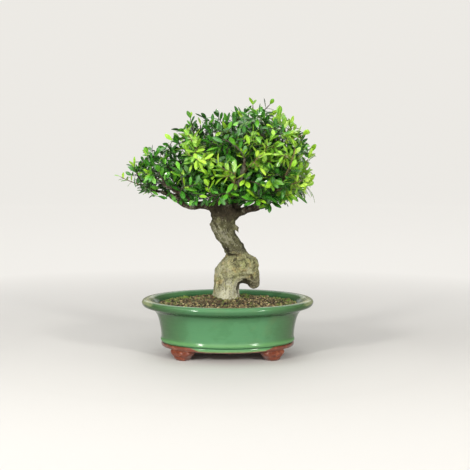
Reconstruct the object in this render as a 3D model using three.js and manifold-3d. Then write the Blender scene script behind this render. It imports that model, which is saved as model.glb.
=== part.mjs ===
// Pomegranate bonsai in a glazed oval pot, in millimetres, +Z up, standing on Z = 0.
// The tree is one trunk node with its limbs, and one node for each leafy shoot.
// X runs along the pot's length, +Y to the back. The shape is laid out about the pot's
// middle, and the whole group is shifted at the end so that its box is centred on Z.
import * as THREE from "three";
import { mergeVertices } from "three/addons/utils/BufferGeometryUtils.js";
import Module from "manifold-3d";

const wasm = await Module();
wasm.setup();

// Driving dimensions
const gap = 0.35; // clear space between neighbouring solids
const pot = {
  length: 245,
  width: 195,
  height: 82,
  footHeight: 14,
  floorZ: 20.5,
  grooveZ: 21,
  sides: 32,
};
const foot = { x: 69.5, tangentHalf: 19.5, radialHalf: 11.5, soleScale: 0.4, sides: 10 };
const drain = { x: 38, radius: 8, sides: 12, meshSide: 26, meshBar: 2.2, meshThick: 1, meshHoles: 3 };
const soil = { edgeZ: 74, moundHeight: 6, moundReach: 40, grain: 1.3, rings: 6, moundX: -3, moundY: 22 };
const trunkSides = 16;
const hookSides = 10;
const leaf = { length: 20, width: 8.2, thick: 1.3, curl: 0.22, edge: 0.46 };
const shoot = { sides: 3, baseRadius: 1.25, tipRadius: 0.75, leafStart: 0.34, pairStep: 9 };
const crown = {
  tips: 51,
  draws: 16, // handful of draws for each tip
  buried: 0.94, // a tip this deep in another lobe, as a share of its size, is dropped
  lowest: -0.42, // height on a lobe below which no tip lies, where 1 is its top
  reachLow: 22,
  reachHigh: 62,
  reachIdeal: 40,
};
const clear = { otherShoot: 3.5, sameShoot: 2.3, otherStem: 2.2, limb: 1.4, stems: 4.2, wood: 1 };
const bladeTries = 7;

// Trunk sections, bottom to top: height, centre x, centre y, half width in x, half depth in y.
const trunkSections = [
  [54, -3, 22, 13, 12],
  [62, -3, 22, 17, 15],
  [72, -3, 22, 20, 18],
  [80, -3, 22, 20.5, 18.5],
  [87, -3, 22, 18.6, 17.5],
  [96, -2.5, 22, 18.2, 17],
  [106, 1, 21.5, 20.2, 18.5],
  [115, 7, 21, 24.4, 21],
  [123, 12.6, 20.5, 28.6, 22.5],
  [130, 15.4, 20, 28, 22.5],
  [136, 17, 19.5, 23.6, 20.5],
  [141, 15.4, 19, 18.2, 17],
  [146, 12.6, 18.5, 15.8, 14.8],
  [154, 8.2, 18, 15.6, 14.2],
  [164, 2, 17, 15.8, 14.4],
  [174, -4, 16, 15.8, 14.8],
  [186, -6.7, 15, 16.4, 15],
  [196, -5.8, 14.5, 15.8, 15],
  [205, -3.6, 14, 17.6, 16.5],
  [212, -2.6, 14, 17.2, 15.5],
  [218, -2, 14, 11, 10.5],
];
// The cut root that hooks down beside the trunk's foot: x, y, z, radius.
const hookRoute = [
  [12, 19, 119.6, 18.4],
  [26, 18, 118.8, 17.6],
  [33, 17.5, 112.5, 13.8],
  [36.4, 17.5, 105, 9.8],
  [37.2, 17.5, 100.4, 7.6],
  [37, 17.5, 96.6, 4],
];
// Limbs, each from its fork to its tip: x, y, z, radius.
const limbs = {
  left: [[-8, 13, 204, 8], [-26, 12, 214, 6.6], [-46, 11, 215, 6.2], [-60, 9, 217, 6.6],
    [-71, 8, 223, 4.6], [-86, 8, 231, 3.2], [-108, 6, 238, 2.2], [-126, 4, 245, 1.7]],
  leftUp: [[-62, 9, 218, 5], [-69, 15, 232, 4], [-66, 18, 248, 3.2], [-78, 20, 263, 2.4],
    [-92, 18, 276, 1.7]],
  leftFront: [[-44, 11, 215, 5], [-54, -6, 226, 3.6], [-70, -22, 236, 2.8], [-90, -34, 248, 1.8]],
  leftBack: [[-52, 10, 216, 5], [-62, 30, 228, 3.4], [-80, 46, 240, 2.4], [-98, 52, 252, 1.7]],
  centreLeft: [[-9, 11, 206, 8], [-19, 5, 228, 6], [-27, -2, 249, 4.4], [-38, -8, 270, 3.2],
    [-44, -10, 294, 2.2], [-46, -8, 310, 1.7]],
  leader: [[-1, 16, 208, 9], [-1, 22, 232, 6.6], [8, 25, 256, 5.4], [20, 22, 280, 4.2], [28, 18, 306, 3],
    [36, 14, 328, 2]],
  backLeft: [[-4, 20, 224, 6], [-14, 40, 242, 4], [-26, 52, 262, 3], [-34, 56, 286, 1.9]],
  rightUp: [[5, 14, 208, 8], [20, 10, 223, 5.8], [37, 6, 238, 4.8], [52, 4, 260, 3.8], [64, 6, 284, 2.8],
    [78, 8, 306, 1.8]],
  rightLow: [[8, 13, 202, 7], [26, 11, 207, 5.6], [42, 9, 212, 5], [52, 7, 219, 4.2], [66, 6, 226, 3.2],
    [84, 6, 233, 2.4], [101, 5, 240, 1.7]],
  front: [[-1, 8, 210, 7], [2, -14, 224, 4.8], [10, -32, 240, 3.6], [20, -48, 260, 2.6], [24, -56, 284, 1.8]],
  frontRight: [[30, 11, 208, 4.6], [46, -10, 221, 3.6], [64, -28, 236, 2.6], [78, -40, 256, 1.8]],
  back: [[2, 20, 212, 7], [8, 40, 226, 4.6], [14, 60, 242, 3.4], [18, 72, 264, 2.4], [20, 74, 290, 1.7]],
  backRight: [[24, 10, 226, 5], [40, 30, 238, 3.8], [58, 46, 250, 2.8], [76, 54, 268, 1.8]],
};
const routeSteps = 2; // stretches between two points of a limb's route
const thickLimb = 5.5; // a limb that starts thicker than this has six sides, the others four

// Rounded lobes of the crown, on which the shoots' tips lie: centre, half sizes, share of the draws.
const lobes = [
  { centre: [43, 12, 264], half: [78, 84, 87], share: 0.44 },
  { centre: [-28, 10, 260], half: [66, 76, 74], share: 0.32 },
  { centre: [-94, 6, 254], half: [43, 52, 40], share: 0.24 },
];
// Shoots that stand out of the crown's outline: the limb they leave, where on it (0 to 1), tip, leaf size.
const standOut = [
  { limb: "left", at: 1, tip: [-152, 1, 256], size: 0.62 },
  { limb: "rightLow", at: 1, tip: [113, 3, 252], size: 0.7 },
  { limb: "leader", at: 1, tip: [60, 4, 358], size: 0.8 },
  { limb: "leader", at: 0.86, tip: [36, 18, 357], size: 0.8 },
  { limb: "centreLeft", at: 1, tip: [-52, -4, 338], size: 0.85 },
  { limb: "rightLow", at: 0.62, tip: [60, -10, 218], size: 1.1 },
  { limb: "left", at: 0.72, tip: [-108, -4, 236], size: 0.9 },
];
// Shoots that fill the crown's middle, given in the same way.
const inner = [
  { limb: "backLeft", at: 0.67, tip: [-13, 14, 292], size: 0.95 },
  { limb: "centreLeft", at: 0.3, tip: [20, -10, 265], size: 0.95 },
  { limb: "back", at: 0.62, tip: [49, 37, 277], size: 0.95 },
  { limb: "rightUp", at: 0.9, tip: [46, -33, 315], size: 0.95 },
  { limb: "leftFront", at: 0.33, tip: [-67, -6, 275], size: 0.95 },
];
// Where new growth has flushed, so that a shoot whose tip is there has young leaves: x, y, z, radius.
const flushes = [
  [-152, 1, 256, 20], [113, 3, 252, 18], [-45, -55, 292, 16], [-55, -30, 316, 16], [10, -64, 268, 16],
  [48, -68, 290, 16], [106, 6, 314, 16], [68, 51, 336, 16], [94, -43, 298, 16], [105, -37, 253, 16],
  [-62, 75, 264, 16], [93, 77, 266, 16], [2, 78, 293, 16],
];

// Colours and finishes
const finish = (color, roughness) => new THREE.MeshStandardMaterial({ color, roughness, metalness: 0 });
const glazedClay = finish(0x5f9f70, 0.2);
const plasticMesh = finish(0x22241f, 0.6);
const barkBrown = finish(0x6f6a49, 0.9);
const soilBrown = finish(0x63513a, 1);
const matureLeaf = finish(0x2f6b1e, 0.4);
const youngLeaf = finish(0x8fb52c, 0.45);

// Small tools
const vec = (x, y, z) => new THREE.Vector3(x, y, z);
const mix = (a, b, t) => a + (b - a) * t;

// Repeatable draws between 0 and 1, the same on every run.
function dice(seed) {
  let state = (seed * 2654435761) % 4294967296;
  const roll = () => {
    state = (state * 1664525 + 1013904223) % 4294967296;
    return state / 4294967296;
  };
  for (let i = 0; i < 4; i++) roll();
  return roll;
}

// A closed three.js geometry as a solid, turned face out.
function solidOf(geometry) {
  const bare = geometry.clone();
  bare.deleteAttribute("normal");
  bare.deleteAttribute("uv");
  const merged = mergeVertices(bare, 1e-4);
  const vertProperties = new Float32Array(merged.attributes.position.array);
  const triVerts = new Uint32Array(merged.index.array);
  const made = new wasm.Manifold(new wasm.Mesh({ numProp: 3, vertProperties, triVerts }));
  if (made.volume() > 0) return made;
  return new wasm.Manifold(new wasm.Mesh({ numProp: 3, vertProperties, triVerts: triVerts.reverse() }));
}

// A solid as a three.js geometry with flat faces.
function geometryOf(solid) {
  const mesh = solid.getMesh();
  const geometry = new THREE.BufferGeometry();
  geometry.setAttribute("position", new THREE.BufferAttribute(mesh.vertProperties, mesh.numProp));
  geometry.setIndex(new THREE.BufferAttribute(mesh.triVerts, 1));
  const flat = geometry.toNonIndexed();
  flat.computeVertexNormals();
  return flat;
}

const join = (solids) => solids.reduce((sum, next) => sum.add(next));

// The largest of the separate bodies that a cut can leave.
const largestBody = (solid) => solid.decompose().sort((a, b) => b.volume() - a.volume())[0];

// A skin over rings of points, closed by flat ends.
function loft(rings) {
  const count = rings[0].length;
  const points = rings.flat();
  const index = [];
  for (let r = 0; r + 1 < rings.length; r++) {
    for (let s = 0; s < count; s++) {
      const a = r * count + s;
      const b = r * count + ((s + 1) % count);
      index.push(a, b, b + count, a, b + count, a + count);
    }
  }
  const last = (rings.length - 1) * count;
  for (let s = 1; s + 1 < count; s++) index.push(0, s + 1, s, last, last + s, last + s + 1);
  const geometry = new THREE.BufferGeometry().setFromPoints(points);
  geometry.setIndex(index);
  return geometry;
}

// A level ring of points about (x, y, z); swell(angle) scales it all round.
function levelRing(x, y, z, halfX, halfY, sides, swell = () => 1) {
  return Array.from({ length: sides }, (_, s) => {
    const angle = (2 * Math.PI * s) / sides;
    const scale = swell(angle);
    return vec(x + halfX * scale * Math.cos(angle), y + halfY * scale * Math.sin(angle), z);
  });
}

// A round tube through points [x, y, z, radius], its sections turned as little as they can be.
function tube(route, sides, extra = 0) {
  const points = route.map(([x, y, z]) => vec(x, y, z));
  let side = null;
  const rings = points.map((p, i) => {
    const ahead = points[Math.min(i + 1, points.length - 1)].clone();
    const along = ahead.sub(points[Math.max(i - 1, 0)]).normalize();
    if (!side) side = (Math.abs(along.z) < 0.9 ? vec(0, 0, 1) : vec(1, 0, 0)).cross(along);
    side = side.clone().addScaledVector(along, -side.dot(along)).normalize();
    const other = along.clone().cross(side);
    const radius = route[i][3] + extra;
    return Array.from({ length: sides }, (_, s) => {
      const angle = (2 * Math.PI * s) / sides;
      const across = side.clone().multiplyScalar(radius * Math.cos(angle));
      return across.addScaledVector(other, radius * Math.sin(angle)).add(p);
    });
  });
  return solidOf(loft(rings));
}

// Points [x, y, z, radius] along a smooth curve through a route (Catmull-Rom).
function smoothRoute(route, steps) {
  const out = [];
  for (let i = 0; i + 1 < route.length; i++) {
    const a = route[Math.max(i - 1, 0)];
    const b = route[i];
    const c = route[i + 1];
    const d = route[Math.min(i + 2, route.length - 1)];
    for (let s = 0; s < steps; s++) {
      const t = s / steps;
      out.push(b.map((_, k) => {
        const straight = 2 * b[k] + (c[k] - a[k]) * t;
        const bend = (2 * a[k] - 5 * b[k] + 4 * c[k] - d[k]) * t * t;
        const twist = (3 * b[k] - a[k] - 3 * c[k] + d[k]) * t * t * t;
        return 0.5 * (straight + bend + twist);
      }));
    }
  }
  out.push(route[route.length - 1].slice());
  return out;
}

const distance = (a, b) => Math.hypot(a[0] - b[0], a[1] - b[1], a[2] - b[2]);

// Pot
const inset = (pot.length - pot.width) / 2; // the pot's oval is as much narrower at every height
const potLip = pot.length / 2;

// Half length and height along the outside, over the rolled lip and down the inside.
const potProfile = [
  [91, pot.footHeight],
  [94.4, pot.footHeight + 1.4],
  [95.2, pot.grooveZ - 2.8],
  [94.8, pot.grooveZ - 0.8],
  [93.6, pot.grooveZ],
  [95.5, pot.grooveZ + 1],
  [96.2, 24.8],
  [95, 28.8],
  [95.5, 37],
  [97, 46],
  [99.2, 55],
  [102, 61.5],
  [106.5, 66.5],
  [113.5, 69.6],
  [potLip - 2.4, 72.4],
  [potLip, 76.8],
  [potLip - 1.6, 80.4],
  [potLip - 6, pot.height],
  [potLip - 12, 81],
  [potLip - 15.4, 77.6],
  [99.5, 69.5],
  [93.4, 56],
  [89.4, 43],
  [87, 29],
  [81, pot.floorZ],
];
const ovalRing = (half, z, sides) => levelRing(0, 0, z, half, half - inset, sides);

// A cloud foot: rings grow from a small flat sole to the wide shoulder that runs into the clay band.
function footSolid(signX, signY) {
  const [halfX, halfY] = [potProfile[1][0], potProfile[1][0] - inset];
  const edgeY = halfY * Math.sqrt(1 - (foot.x / halfX) ** 2);
  const turn = Math.atan2(foot.x / halfX ** 2, edgeY / halfY ** 2);
  const levels = [[0, foot.soleScale], [2.6, 0.5], [6, 0.68], [10.5, 0.93], [14, 1], [18, 1]];
  const rings = levels.map(([z, scale]) => levelRing(0, 0, z, foot.tangentHalf * scale,
    foot.radialHalf * mix(1, scale, 0.55), foot.sides));
  const [x, y] = [foot.x - Math.sin(turn) * foot.radialHalf, edgeY - Math.cos(turn) * foot.radialHalf];
  return solidOf(loft(rings).rotateZ(-turn).translate(x, y, 0).scale(signX, signY, 1));
}

function potSolid() {
  const body = solidOf(loft(potProfile.map(([half, z]) => ovalRing(half, z, pot.sides))));
  const feet = [[1, 1], [-1, 1], [1, -1], [-1, -1]].map(([sx, sy]) => footSolid(sx, sy));
  const holes = [-drain.x, drain.x].map((x) => {
    const bore = new THREE.CylinderGeometry(drain.radius, drain.radius, pot.floorZ * 2, drain.sides);
    return solidOf(bore.rotateX(Math.PI / 2).translate(x, 0, pot.floorZ));
  });
  return join([body, ...feet]).subtract(join(holes));
}

// A square of plastic netting that keeps the soil from falling through a drain hole.
function drainMeshSolid() {
  const block = (size, x, y, thick) =>
    solidOf(new THREE.BoxGeometry(size, size, thick).translate(x, y, drain.meshThick / 2));
  const pitch = (drain.meshSide - drain.meshBar) / drain.meshHoles;
  const places = Array.from({ length: drain.meshHoles }, (_, i) => (i - (drain.meshHoles - 1) / 2) * pitch);
  const openings = places.flatMap((x) =>
    places.map((y) => block(pitch - drain.meshBar, x, y, 2 * drain.meshThick)));
  return block(drain.meshSide, 0, 0, drain.meshThick).subtract(join(openings));
}

// Soil
// The soil fills the pot to just under the lip, mounded to the trunk, with a top of raised granules.
function soilSolid() {
  const roll = dice(11);
  const wall = potProfile.slice(-6).reverse().map(([half, z]) => [half - gap, z]);
  wall[0][1] += gap;
  const inside = wall.filter(([, z]) => z < soil.edgeZ - 4);
  const [lowHalf, lowZ] = inside[inside.length - 1];
  const [highHalf, highZ] = wall[inside.length];
  const rimHalf = mix(lowHalf, highHalf, (soil.edgeZ - lowZ) / (highZ - lowZ)) - 0.4;
  const rings = inside.map(([half, z]) => ovalRing(half, z, pot.sides));
  for (let r = 0; r < soil.rings; r++) {
    const share = 1 - r / soil.rings;
    const ring = levelRing(0, 0, 0, rimHalf * share, (rimHalf - inset) * share, pot.sides);
    rings.push(ring.map((p, s) => {
      const shift = r === 0 ? 0 : 1.6 * (roll() - 0.5);
      const far = Math.hypot(p.x - soil.moundX, p.y - soil.moundY);
      const mound = soil.moundHeight * Math.exp(-((far / soil.moundReach) ** 2));
      const grain = soil.grain * ((r + s) % 2 ? 1 : -1) * (0.4 + roll());
      return vec(p.x + shift, p.y + shift, soil.edgeZ + mound + (r === 0 ? 0 : grain));
    }));
  }
  const [roomSide, roomThick] = [drain.meshSide + 2 * gap, 2 * (drain.meshThick + gap)];
  const meshRoom = [-drain.x, drain.x].map((x) =>
    solidOf(new THREE.BoxGeometry(roomSide, roomSide, roomThick).translate(x, 0, pot.floorZ + gap)));
  return largestBody(solidOf(loft(rings)).subtract(trunkBody(gap)).subtract(join(meshRoom)));
}

// Trunk and limbs
// The trunk alone, a little larger all round by extra, with low ribs of bark and root.
function trunkBody(extra) {
  const rings = trunkSections.map(([z, x, y, halfX, halfY]) => {
    const rootSwell = z < 90 ? 0.05 : 0;
    const swell = (angle) => 1 + 0.03 * Math.sin(3 * angle + z * 0.09)
      + 0.022 * Math.sin(5 * angle - z * 0.13) + rootSwell * Math.cos(4 * angle + 0.6);
    return levelRing(x, y, z, halfX + extra, halfY + extra, trunkSides, swell);
  });
  rings[0].forEach((p) => (p.z -= extra));
  return solidOf(loft(rings));
}

const limbSides = (route) => (route[0][3] > thickLimb ? 6 : 4);
const limbRoutes = {};
for (const [name, route] of Object.entries(limbs)) limbRoutes[name] = smoothRoute(route, routeSteps);

function woodSolid(extra) {
  const hook = tube(smoothRoute(hookRoute, routeSteps), hookSides, extra);
  const arms = Object.values(limbRoutes).map((route) => tube(route, limbSides(route), extra));
  return join([trunkBody(extra), hook, ...arms]);
}

// Crown
// The places of the shoots' tips: the ones that stand out or fill the middle first, then spread over the
// lobes. Of each handful of draws, the one is kept that lies furthest from the tips before it.
function crownTips() {
  const roll = dice(5);
  const shoots = [...standOut, ...inner].map((one) => ({ ...one }));
  while (shoots.length < crown.tips) {
    let best = null;
    let room = -1;
    for (let draw = 0; draw < crown.draws; draw++) {
      const pick = roll();
      const lobe = lobes.find((_, k) => pick < lobes.slice(0, k + 1).reduce((sum, l) => sum + l.share, 0));
      const height = mix(crown.lowest, 1, roll());
      const around = 2 * Math.PI * roll();
      const flat = Math.sqrt(1 - height * height);
      const offset = [flat * Math.cos(around), flat * Math.sin(around), height];
      const tip = lobe.centre.map((c, k) => c + lobe.half[k] * offset[k]);
      const depthIn = (other) => Math.hypot(...other.centre.map((c, k) => (tip[k] - c) / other.half[k]));
      if (lobes.some((other) => other !== lobe && depthIn(other) < crown.buried)) continue;
      const space = Math.min(...shoots.map((one) => distance(one.tip, tip)));
      if (space > room) [best, room] = [tip, space];
    }
    const size = mix(0.86, 1.16, roll());
    if (best) shoots.push({ tip: best, size });
  }
  const inFlush = (tip) => flushes.some((flush) => distance(tip, flush) < flush[3]);
  return shoots.map((one) => ({ ...one, young: inFlush(one.tip) }));
}

// Five points of a stem that leaves its limb forwards and bends to its tip (a quadratic curve).
function stemRoute(start, heading, tip, size) {
  const reach = distance(start, tip);
  const knee = start.map((c, k) => c + heading[k] * reach * 0.3 + (tip[k] - c) * 0.28);
  knee[2] -= 0.05 * reach;
  return [0, 0.25, 0.5, 0.75, 1].map((t) => [
    ...start.map((c, k) => c * (1 - t) * (1 - t) + 2 * knee[k] * t * (1 - t) + tip[k] * t * t),
    mix(shoot.baseRadius, shoot.tipRadius, t) * Math.min(size, 1.1),
  ]);
}

function headingAt(route, i) {
  const [a, b] = [route[Math.max(i - 1, 0)], route[Math.min(i + 1, route.length - 1)]];
  const length = distance(a, b);
  return [0, 1, 2].map((k) => (b[k] - a[k]) / length);
}

// Every way that a shoot could leave a limb, the best first: near the ideal reach, forwards and outwards.
function waysToLimb(one) {
  const ways = [];
  for (const [name, route] of Object.entries(limbRoutes)) {
    if (one.limb && one.limb !== name) continue;
    route.forEach((p, i) => {
      const share = i / (route.length - 1);
      if (one.limb ? Math.abs(share - one.at) > 0.5 / (route.length - 1) : share < 0.34) return;
      const reach = distance(p, one.tip);
      if (!one.limb && (reach < crown.reachLow || reach > crown.reachHigh)) return;
      const heading = headingAt(route, i);
      const forwards = heading.reduce((sum, h, k) => sum + (h * (one.tip[k] - p[k])) / reach, 0);
      ways.push({ start: p.slice(0, 3), heading, cost: Math.abs(reach - crown.reachIdeal) - 16 * forwards });
    });
  }
  return ways.sort((a, b) => a.cost - b.cost);
}

// The route's points, with each stretch between two of them cut into equal parts.
function betweenPoints(route, parts) {
  const out = [];
  for (let i = 0; i + 1 < route.length; i++) {
    for (let s = 0; s < parts; s++) out.push(route[i].map((c, k) => mix(c, route[i + 1][k], s / parts)));
  }
  return [...out, route[route.length - 1]];
}

// Gives each tip a stem that stays clear of the limbs and of the stems before it.
function growStems(shoots) {
  const wood = Object.values(limbRoutes).flatMap((route) => betweenPoints(route, 2));
  const grown = [];
  for (const one of shoots) {
    for (const way of waysToLimb(one)) {
      const route = stemRoute(way.start, way.heading, one.tip, one.size);
      const line = betweenPoints(route, 3);
      const outer = line.slice(5);
      const hitsWood = outer.some((p) => wood.some((w) => distance(p, w) < w[3] + p[3] + clear.wood));
      const near = (p, stem) => stem.line.some((q) => distance(p, q) < clear.stems);
      const hitsStem = grown.some((stem) => line.slice(2).some((p) => near(p, stem)));
      if ((hitsWood || hitsStem) && !one.limb) continue;
      grown.push({ ...one, route, line });
      break;
    }
  }
  return { grown, wood };
}

// Points on a blade that are kept clear of other blades: along its rib and at both edges.
function bladePoints(blade) {
  const out = [];
  for (const t of [0.28, 0.52, 0.76, 1]) {
    for (const side of t === 1 ? [0] : [-1, 0, 1]) out.push(bladePoint(blade, t, side * leaf.edge, 0));
  }
  return out;
}

// A point on a blade: t along the rib, across in widths, lift in millimetres above it.
function bladePoint(blade, t, across, lift) {
  const { base, along, side, face, length, width } = blade;
  const rise = lift - leaf.curl * length * t * t * blade.bend;
  const reach = length * t * (1 - 0.06 * t);
  return base.map((c, k) => c + along[k] * reach + side[k] * width * across + face[k] * rise);
}

const unit = (a) => {
  const size = Math.hypot(...a);
  return a.map((c) => c / size);
};
const cross = (a, b) => [a[1] * b[2] - a[2] * b[1], a[2] * b[0] - a[0] * b[2], a[0] * b[1] - a[1] * b[0]];
const dot = (a, b) => a[0] * b[0] + a[1] * b[1] + a[2] * b[2];

// One blade that leaves the stem at a lean from its heading, turned about it, with its face to the light.
function makeBlade(base, heading, turn, lean, size, bend) {
  const reference = Math.abs(heading[2]) < 0.92 ? [0, 0, 1] : [1, 0, 0];
  const right = unit(cross(heading, reference));
  const over = cross(right, heading);
  const out = right.map((r, k) => r * Math.cos(turn) + over[k] * Math.sin(turn));
  const leant = heading.map((h, k) => h * Math.cos(lean) + out[k] * Math.sin(lean));
  const along = unit([leant[0], leant[1], leant[2] + 0.12]);
  const light = unit([base[0] * 0.004, (base[1] - 10) * 0.005, 1]);
  const facing = light.map((l, k) => l + 0.55 * heading[k] - 0.25 * out[k]);
  const shade = dot(facing, along);
  const face = unit(facing.map((f, k) => f - along[k] * shade));
  const side = cross(along, face);
  const [length, width] = [leaf.length * size, leaf.width * Math.sqrt(size)];
  return { base, along, side, face, bend, length, width };
}

// Opposite pairs up the stem, each pair a quarter turn from the last, and a pair at its tip.
function growBlades(grown, wood) {
  const placed = [];
  grown.forEach((one, number) => {
    const roll = dice(100 + number);
    const mine = [];
    const startTurn = Math.PI * roll();
    const reach = distance(one.route[0], one.route[4]);
    const pairs = Math.max(3, Math.round((reach * (1 - shoot.leafStart)) / shoot.pairStep));
    for (let pair = 0; pair <= pairs; pair++) {
      const t = mix(shoot.leafStart, 0.985, pair / pairs);
      const spot = (one.route.length - 1) * t;
      const low = Math.min(Math.floor(spot), one.route.length - 2);
      const base = one.route[low].slice(0, 3).map((c, k) => mix(c, one.route[low + 1][k], spot - low));
      const heading = unit(one.route[low].slice(0, 3).map((c, k) => one.route[low + 1][k] - c));
      for (let twin = 0; twin < 2; twin++) {
        for (let tries = 0; tries < bladeTries; tries++) {
          const shake = 0.9 * (roll() - 0.5) * (1 + 0.4 * tries);
          const turn = startTurn + pair * Math.PI / 2 + twin * Math.PI + shake;
          const lean = (pair === pairs ? 0.42 : 0.95) + 0.4 * (roll() - 0.5) + 0.06 * tries;
          const size = one.size * mix(0.78, 1.12, roll()) * (pair === pairs ? 0.86 : 1);
          const blade = makeBlade(base, heading, turn, lean, size, mix(-0.3, 1.3, roll()));
          const points = bladePoints(blade);
          const near = (q, room) => points.some((p) => distance(p, q) < room);
          const hitsOther = placed.some((b) => b.points.some((q) => near(q, clear.otherShoot)));
          const hitsOwn = mine.some((b) => b.points.some((q) => near(q, clear.sameShoot)));
          const nearStem = (stem) => stem.line.some((q) => near(q, q[3] + clear.otherStem));
          const hitsStem = grown.some((stem) => stem !== one && nearStem(stem));
          const hitsWood = wood.some((w) => near(w, w[3] + clear.limb));
          if (hitsOther || hitsOwn || hitsStem || hitsWood) continue;
          mine.push({ ...blade, points });
          break;
        }
      }
    }
    placed.push(...mine);
    one.blades = mine;
  });
}

// A blade with a raised rib: three-cornered sections between its stalk and its pointed tip.
function bladeSolid(blade, extra) {
  const grow = extra / blade.width;
  const section = (t, across) => [
    bladePoint(blade, t, -across - grow, -extra),
    bladePoint(blade, t, across + grow, -extra),
    bladePoint(blade, t, 0, leaf.thick + extra),
  ].map((p) => vec(...p));
  const tip = vec(...bladePoint(blade, 1, 0, 0));
  const points = [vec(...blade.base), ...section(0.36, 0.42), ...section(0.72, leaf.edge), tip];
  const index = [0, 1, 2, 0, 2, 3, 0, 3, 1, 4, 7, 5, 5, 7, 6, 6, 7, 4];
  for (let s = 0; s < 3; s++) {
    const next = (s + 1) % 3;
    index.push(1 + s, 4 + s, 4 + next, 1 + s, 4 + next, 1 + next);
  }
  const geometry = new THREE.BufferGeometry().setFromPoints(points);
  geometry.setIndex(index);
  return solidOf(geometry);
}

function shootSolid(one, extra) {
  return join([tube(one.route, shoot.sides, extra), ...one.blades.map((blade) => bladeSolid(blade, extra))]);
}

// Assembly
const root = new THREE.Group();
const tree = new THREE.Group();
root.add(tree);

function addMesh(parent, name, geometry, material) {
  const mesh = new THREE.Mesh(geometry, material);
  mesh.name = name;
  parent.add(mesh);
  return mesh;
}

addMesh(root, "pot", geometryOf(potSolid()), glazedClay);
const netting = geometryOf(drainMeshSolid());
for (const [name, x] of [["drain_mesh_left", -drain.x], ["drain_mesh_right", drain.x]]) {
  addMesh(root, name, netting, plasticMesh).position.set(x, 0, pot.floorZ + gap);
}
addMesh(root, "soil", geometryOf(soilSolid()), soilBrown);
addMesh(tree, "trunk", geometryOf(woodSolid(0)), barkBrown);

const { grown, wood } = growStems(crownTips());
growBlades(grown, wood);
const woodRoom = woodSolid(gap);
const rooms = [];
grown.forEach((one, number) => {
  const room = shootSolid(one, gap * 0.7);
  const whole = rooms.reduce((solid, other) => solid.subtract(other), shootSolid(one, 0).subtract(woodRoom));
  rooms.push(room);
  const name = "shoot_" + String(number + 1).padStart(2, "0");
  addMesh(tree, name, geometryOf(largestBody(whole).simplify(0.03)), one.young ? youngLeaf : matureLeaf);
});

const box = new THREE.Box3().setFromObject(root);
const middle = box.getCenter(vec(0, 0, 0));
root.position.set(-middle.x, -middle.y, 0);

export default root;
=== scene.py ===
import math
import bpy
import numpy as np
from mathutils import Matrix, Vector


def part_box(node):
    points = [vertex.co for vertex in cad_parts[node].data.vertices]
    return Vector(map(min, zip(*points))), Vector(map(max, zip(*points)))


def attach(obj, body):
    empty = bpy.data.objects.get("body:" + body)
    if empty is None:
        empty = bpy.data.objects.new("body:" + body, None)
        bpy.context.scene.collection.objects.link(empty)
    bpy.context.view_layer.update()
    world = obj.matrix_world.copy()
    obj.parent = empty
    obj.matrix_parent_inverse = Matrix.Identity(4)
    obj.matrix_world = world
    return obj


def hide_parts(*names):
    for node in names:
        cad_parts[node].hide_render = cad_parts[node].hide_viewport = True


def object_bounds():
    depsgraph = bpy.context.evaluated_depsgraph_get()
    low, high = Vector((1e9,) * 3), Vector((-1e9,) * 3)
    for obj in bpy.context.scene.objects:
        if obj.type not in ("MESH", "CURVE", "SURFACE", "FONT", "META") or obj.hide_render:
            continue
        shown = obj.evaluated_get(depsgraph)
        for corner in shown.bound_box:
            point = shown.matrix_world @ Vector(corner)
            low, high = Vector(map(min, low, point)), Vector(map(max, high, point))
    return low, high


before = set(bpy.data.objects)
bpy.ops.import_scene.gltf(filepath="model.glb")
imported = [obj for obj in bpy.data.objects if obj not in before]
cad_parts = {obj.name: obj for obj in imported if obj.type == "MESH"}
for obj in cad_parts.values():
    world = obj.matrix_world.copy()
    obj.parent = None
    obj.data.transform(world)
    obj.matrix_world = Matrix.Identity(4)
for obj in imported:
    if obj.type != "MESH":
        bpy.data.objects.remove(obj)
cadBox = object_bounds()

mm = 0.001
potBox = np.array([list(corner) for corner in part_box("pot")]) / mm
potMiddle = np.array([*potBox.mean(0)[:2], 0.0])  # shapes are laid out about the pot's middle, in millimetres
cadLow, cadHigh = (np.array(corner) / mm - potMiddle for corner in cadBox)


def mix(a, b, t):
    return a + (b - a) * t


def smoothStep(low, high, value):
    # nought up to low and one from high on, with an S-curve between
    t = np.clip((value - low) / (high - low), 0, 1)
    return t * t * (3 - 2 * t)


def bell(value, middle, width):
    # one at the middle, falling away on both sides
    return np.exp(-(((value - middle) / width) ** 2))


def unit(vectors):
    return vectors / np.linalg.norm(vectors, axis=-1, keepdims=True)


def xyz(x, y, z):
    return np.stack(np.broadcast_arrays(x, y, z), -1)


def roundAngles(count):
    return np.linspace(0, 2 * np.pi, count, endpoint=False)


def dice(seed):  # repeatable draws between 0 and 1, the same rule as the model's
    state = (seed * 2654435761) % 4294967296

    def roll():
        nonlocal state
        state = (state * 1664525 + 1013904223) % 4294967296
        return state / 4294967296

    for _ in range(4):
        roll()
    return roll


def latticeNoise(points, size, seed):
    # hashed values between -1 and 1 on a lattice of this size, blended across each cell by smoothsteps
    scaled = points / size
    cell = np.floor(scaled).astype(np.int64)
    part = scaled - cell
    part = part * part * (3 - 2 * part)
    total = np.zeros(points.shape[:-1])
    for corner in np.ndindex(2, 2, 2):
        at = cell + np.array(corner)
        key = (at[..., 0] * 73856093) ^ (at[..., 1] * 19349663) ^ (at[..., 2] * 83492791) ^ (seed * 40503)
        key = (key & 0xFFFFFFFF) * 2654435761 & 0xFFFFFFFF
        key = (key ^ (key >> 15)) * 2246822519 & 0xFFFFFFFF
        share = np.where(corner, part, 1 - part).prod(-1)
        total += share * ((key >> 8 & 0xFFFF) / 32767.5 - 1)
    return total


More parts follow.
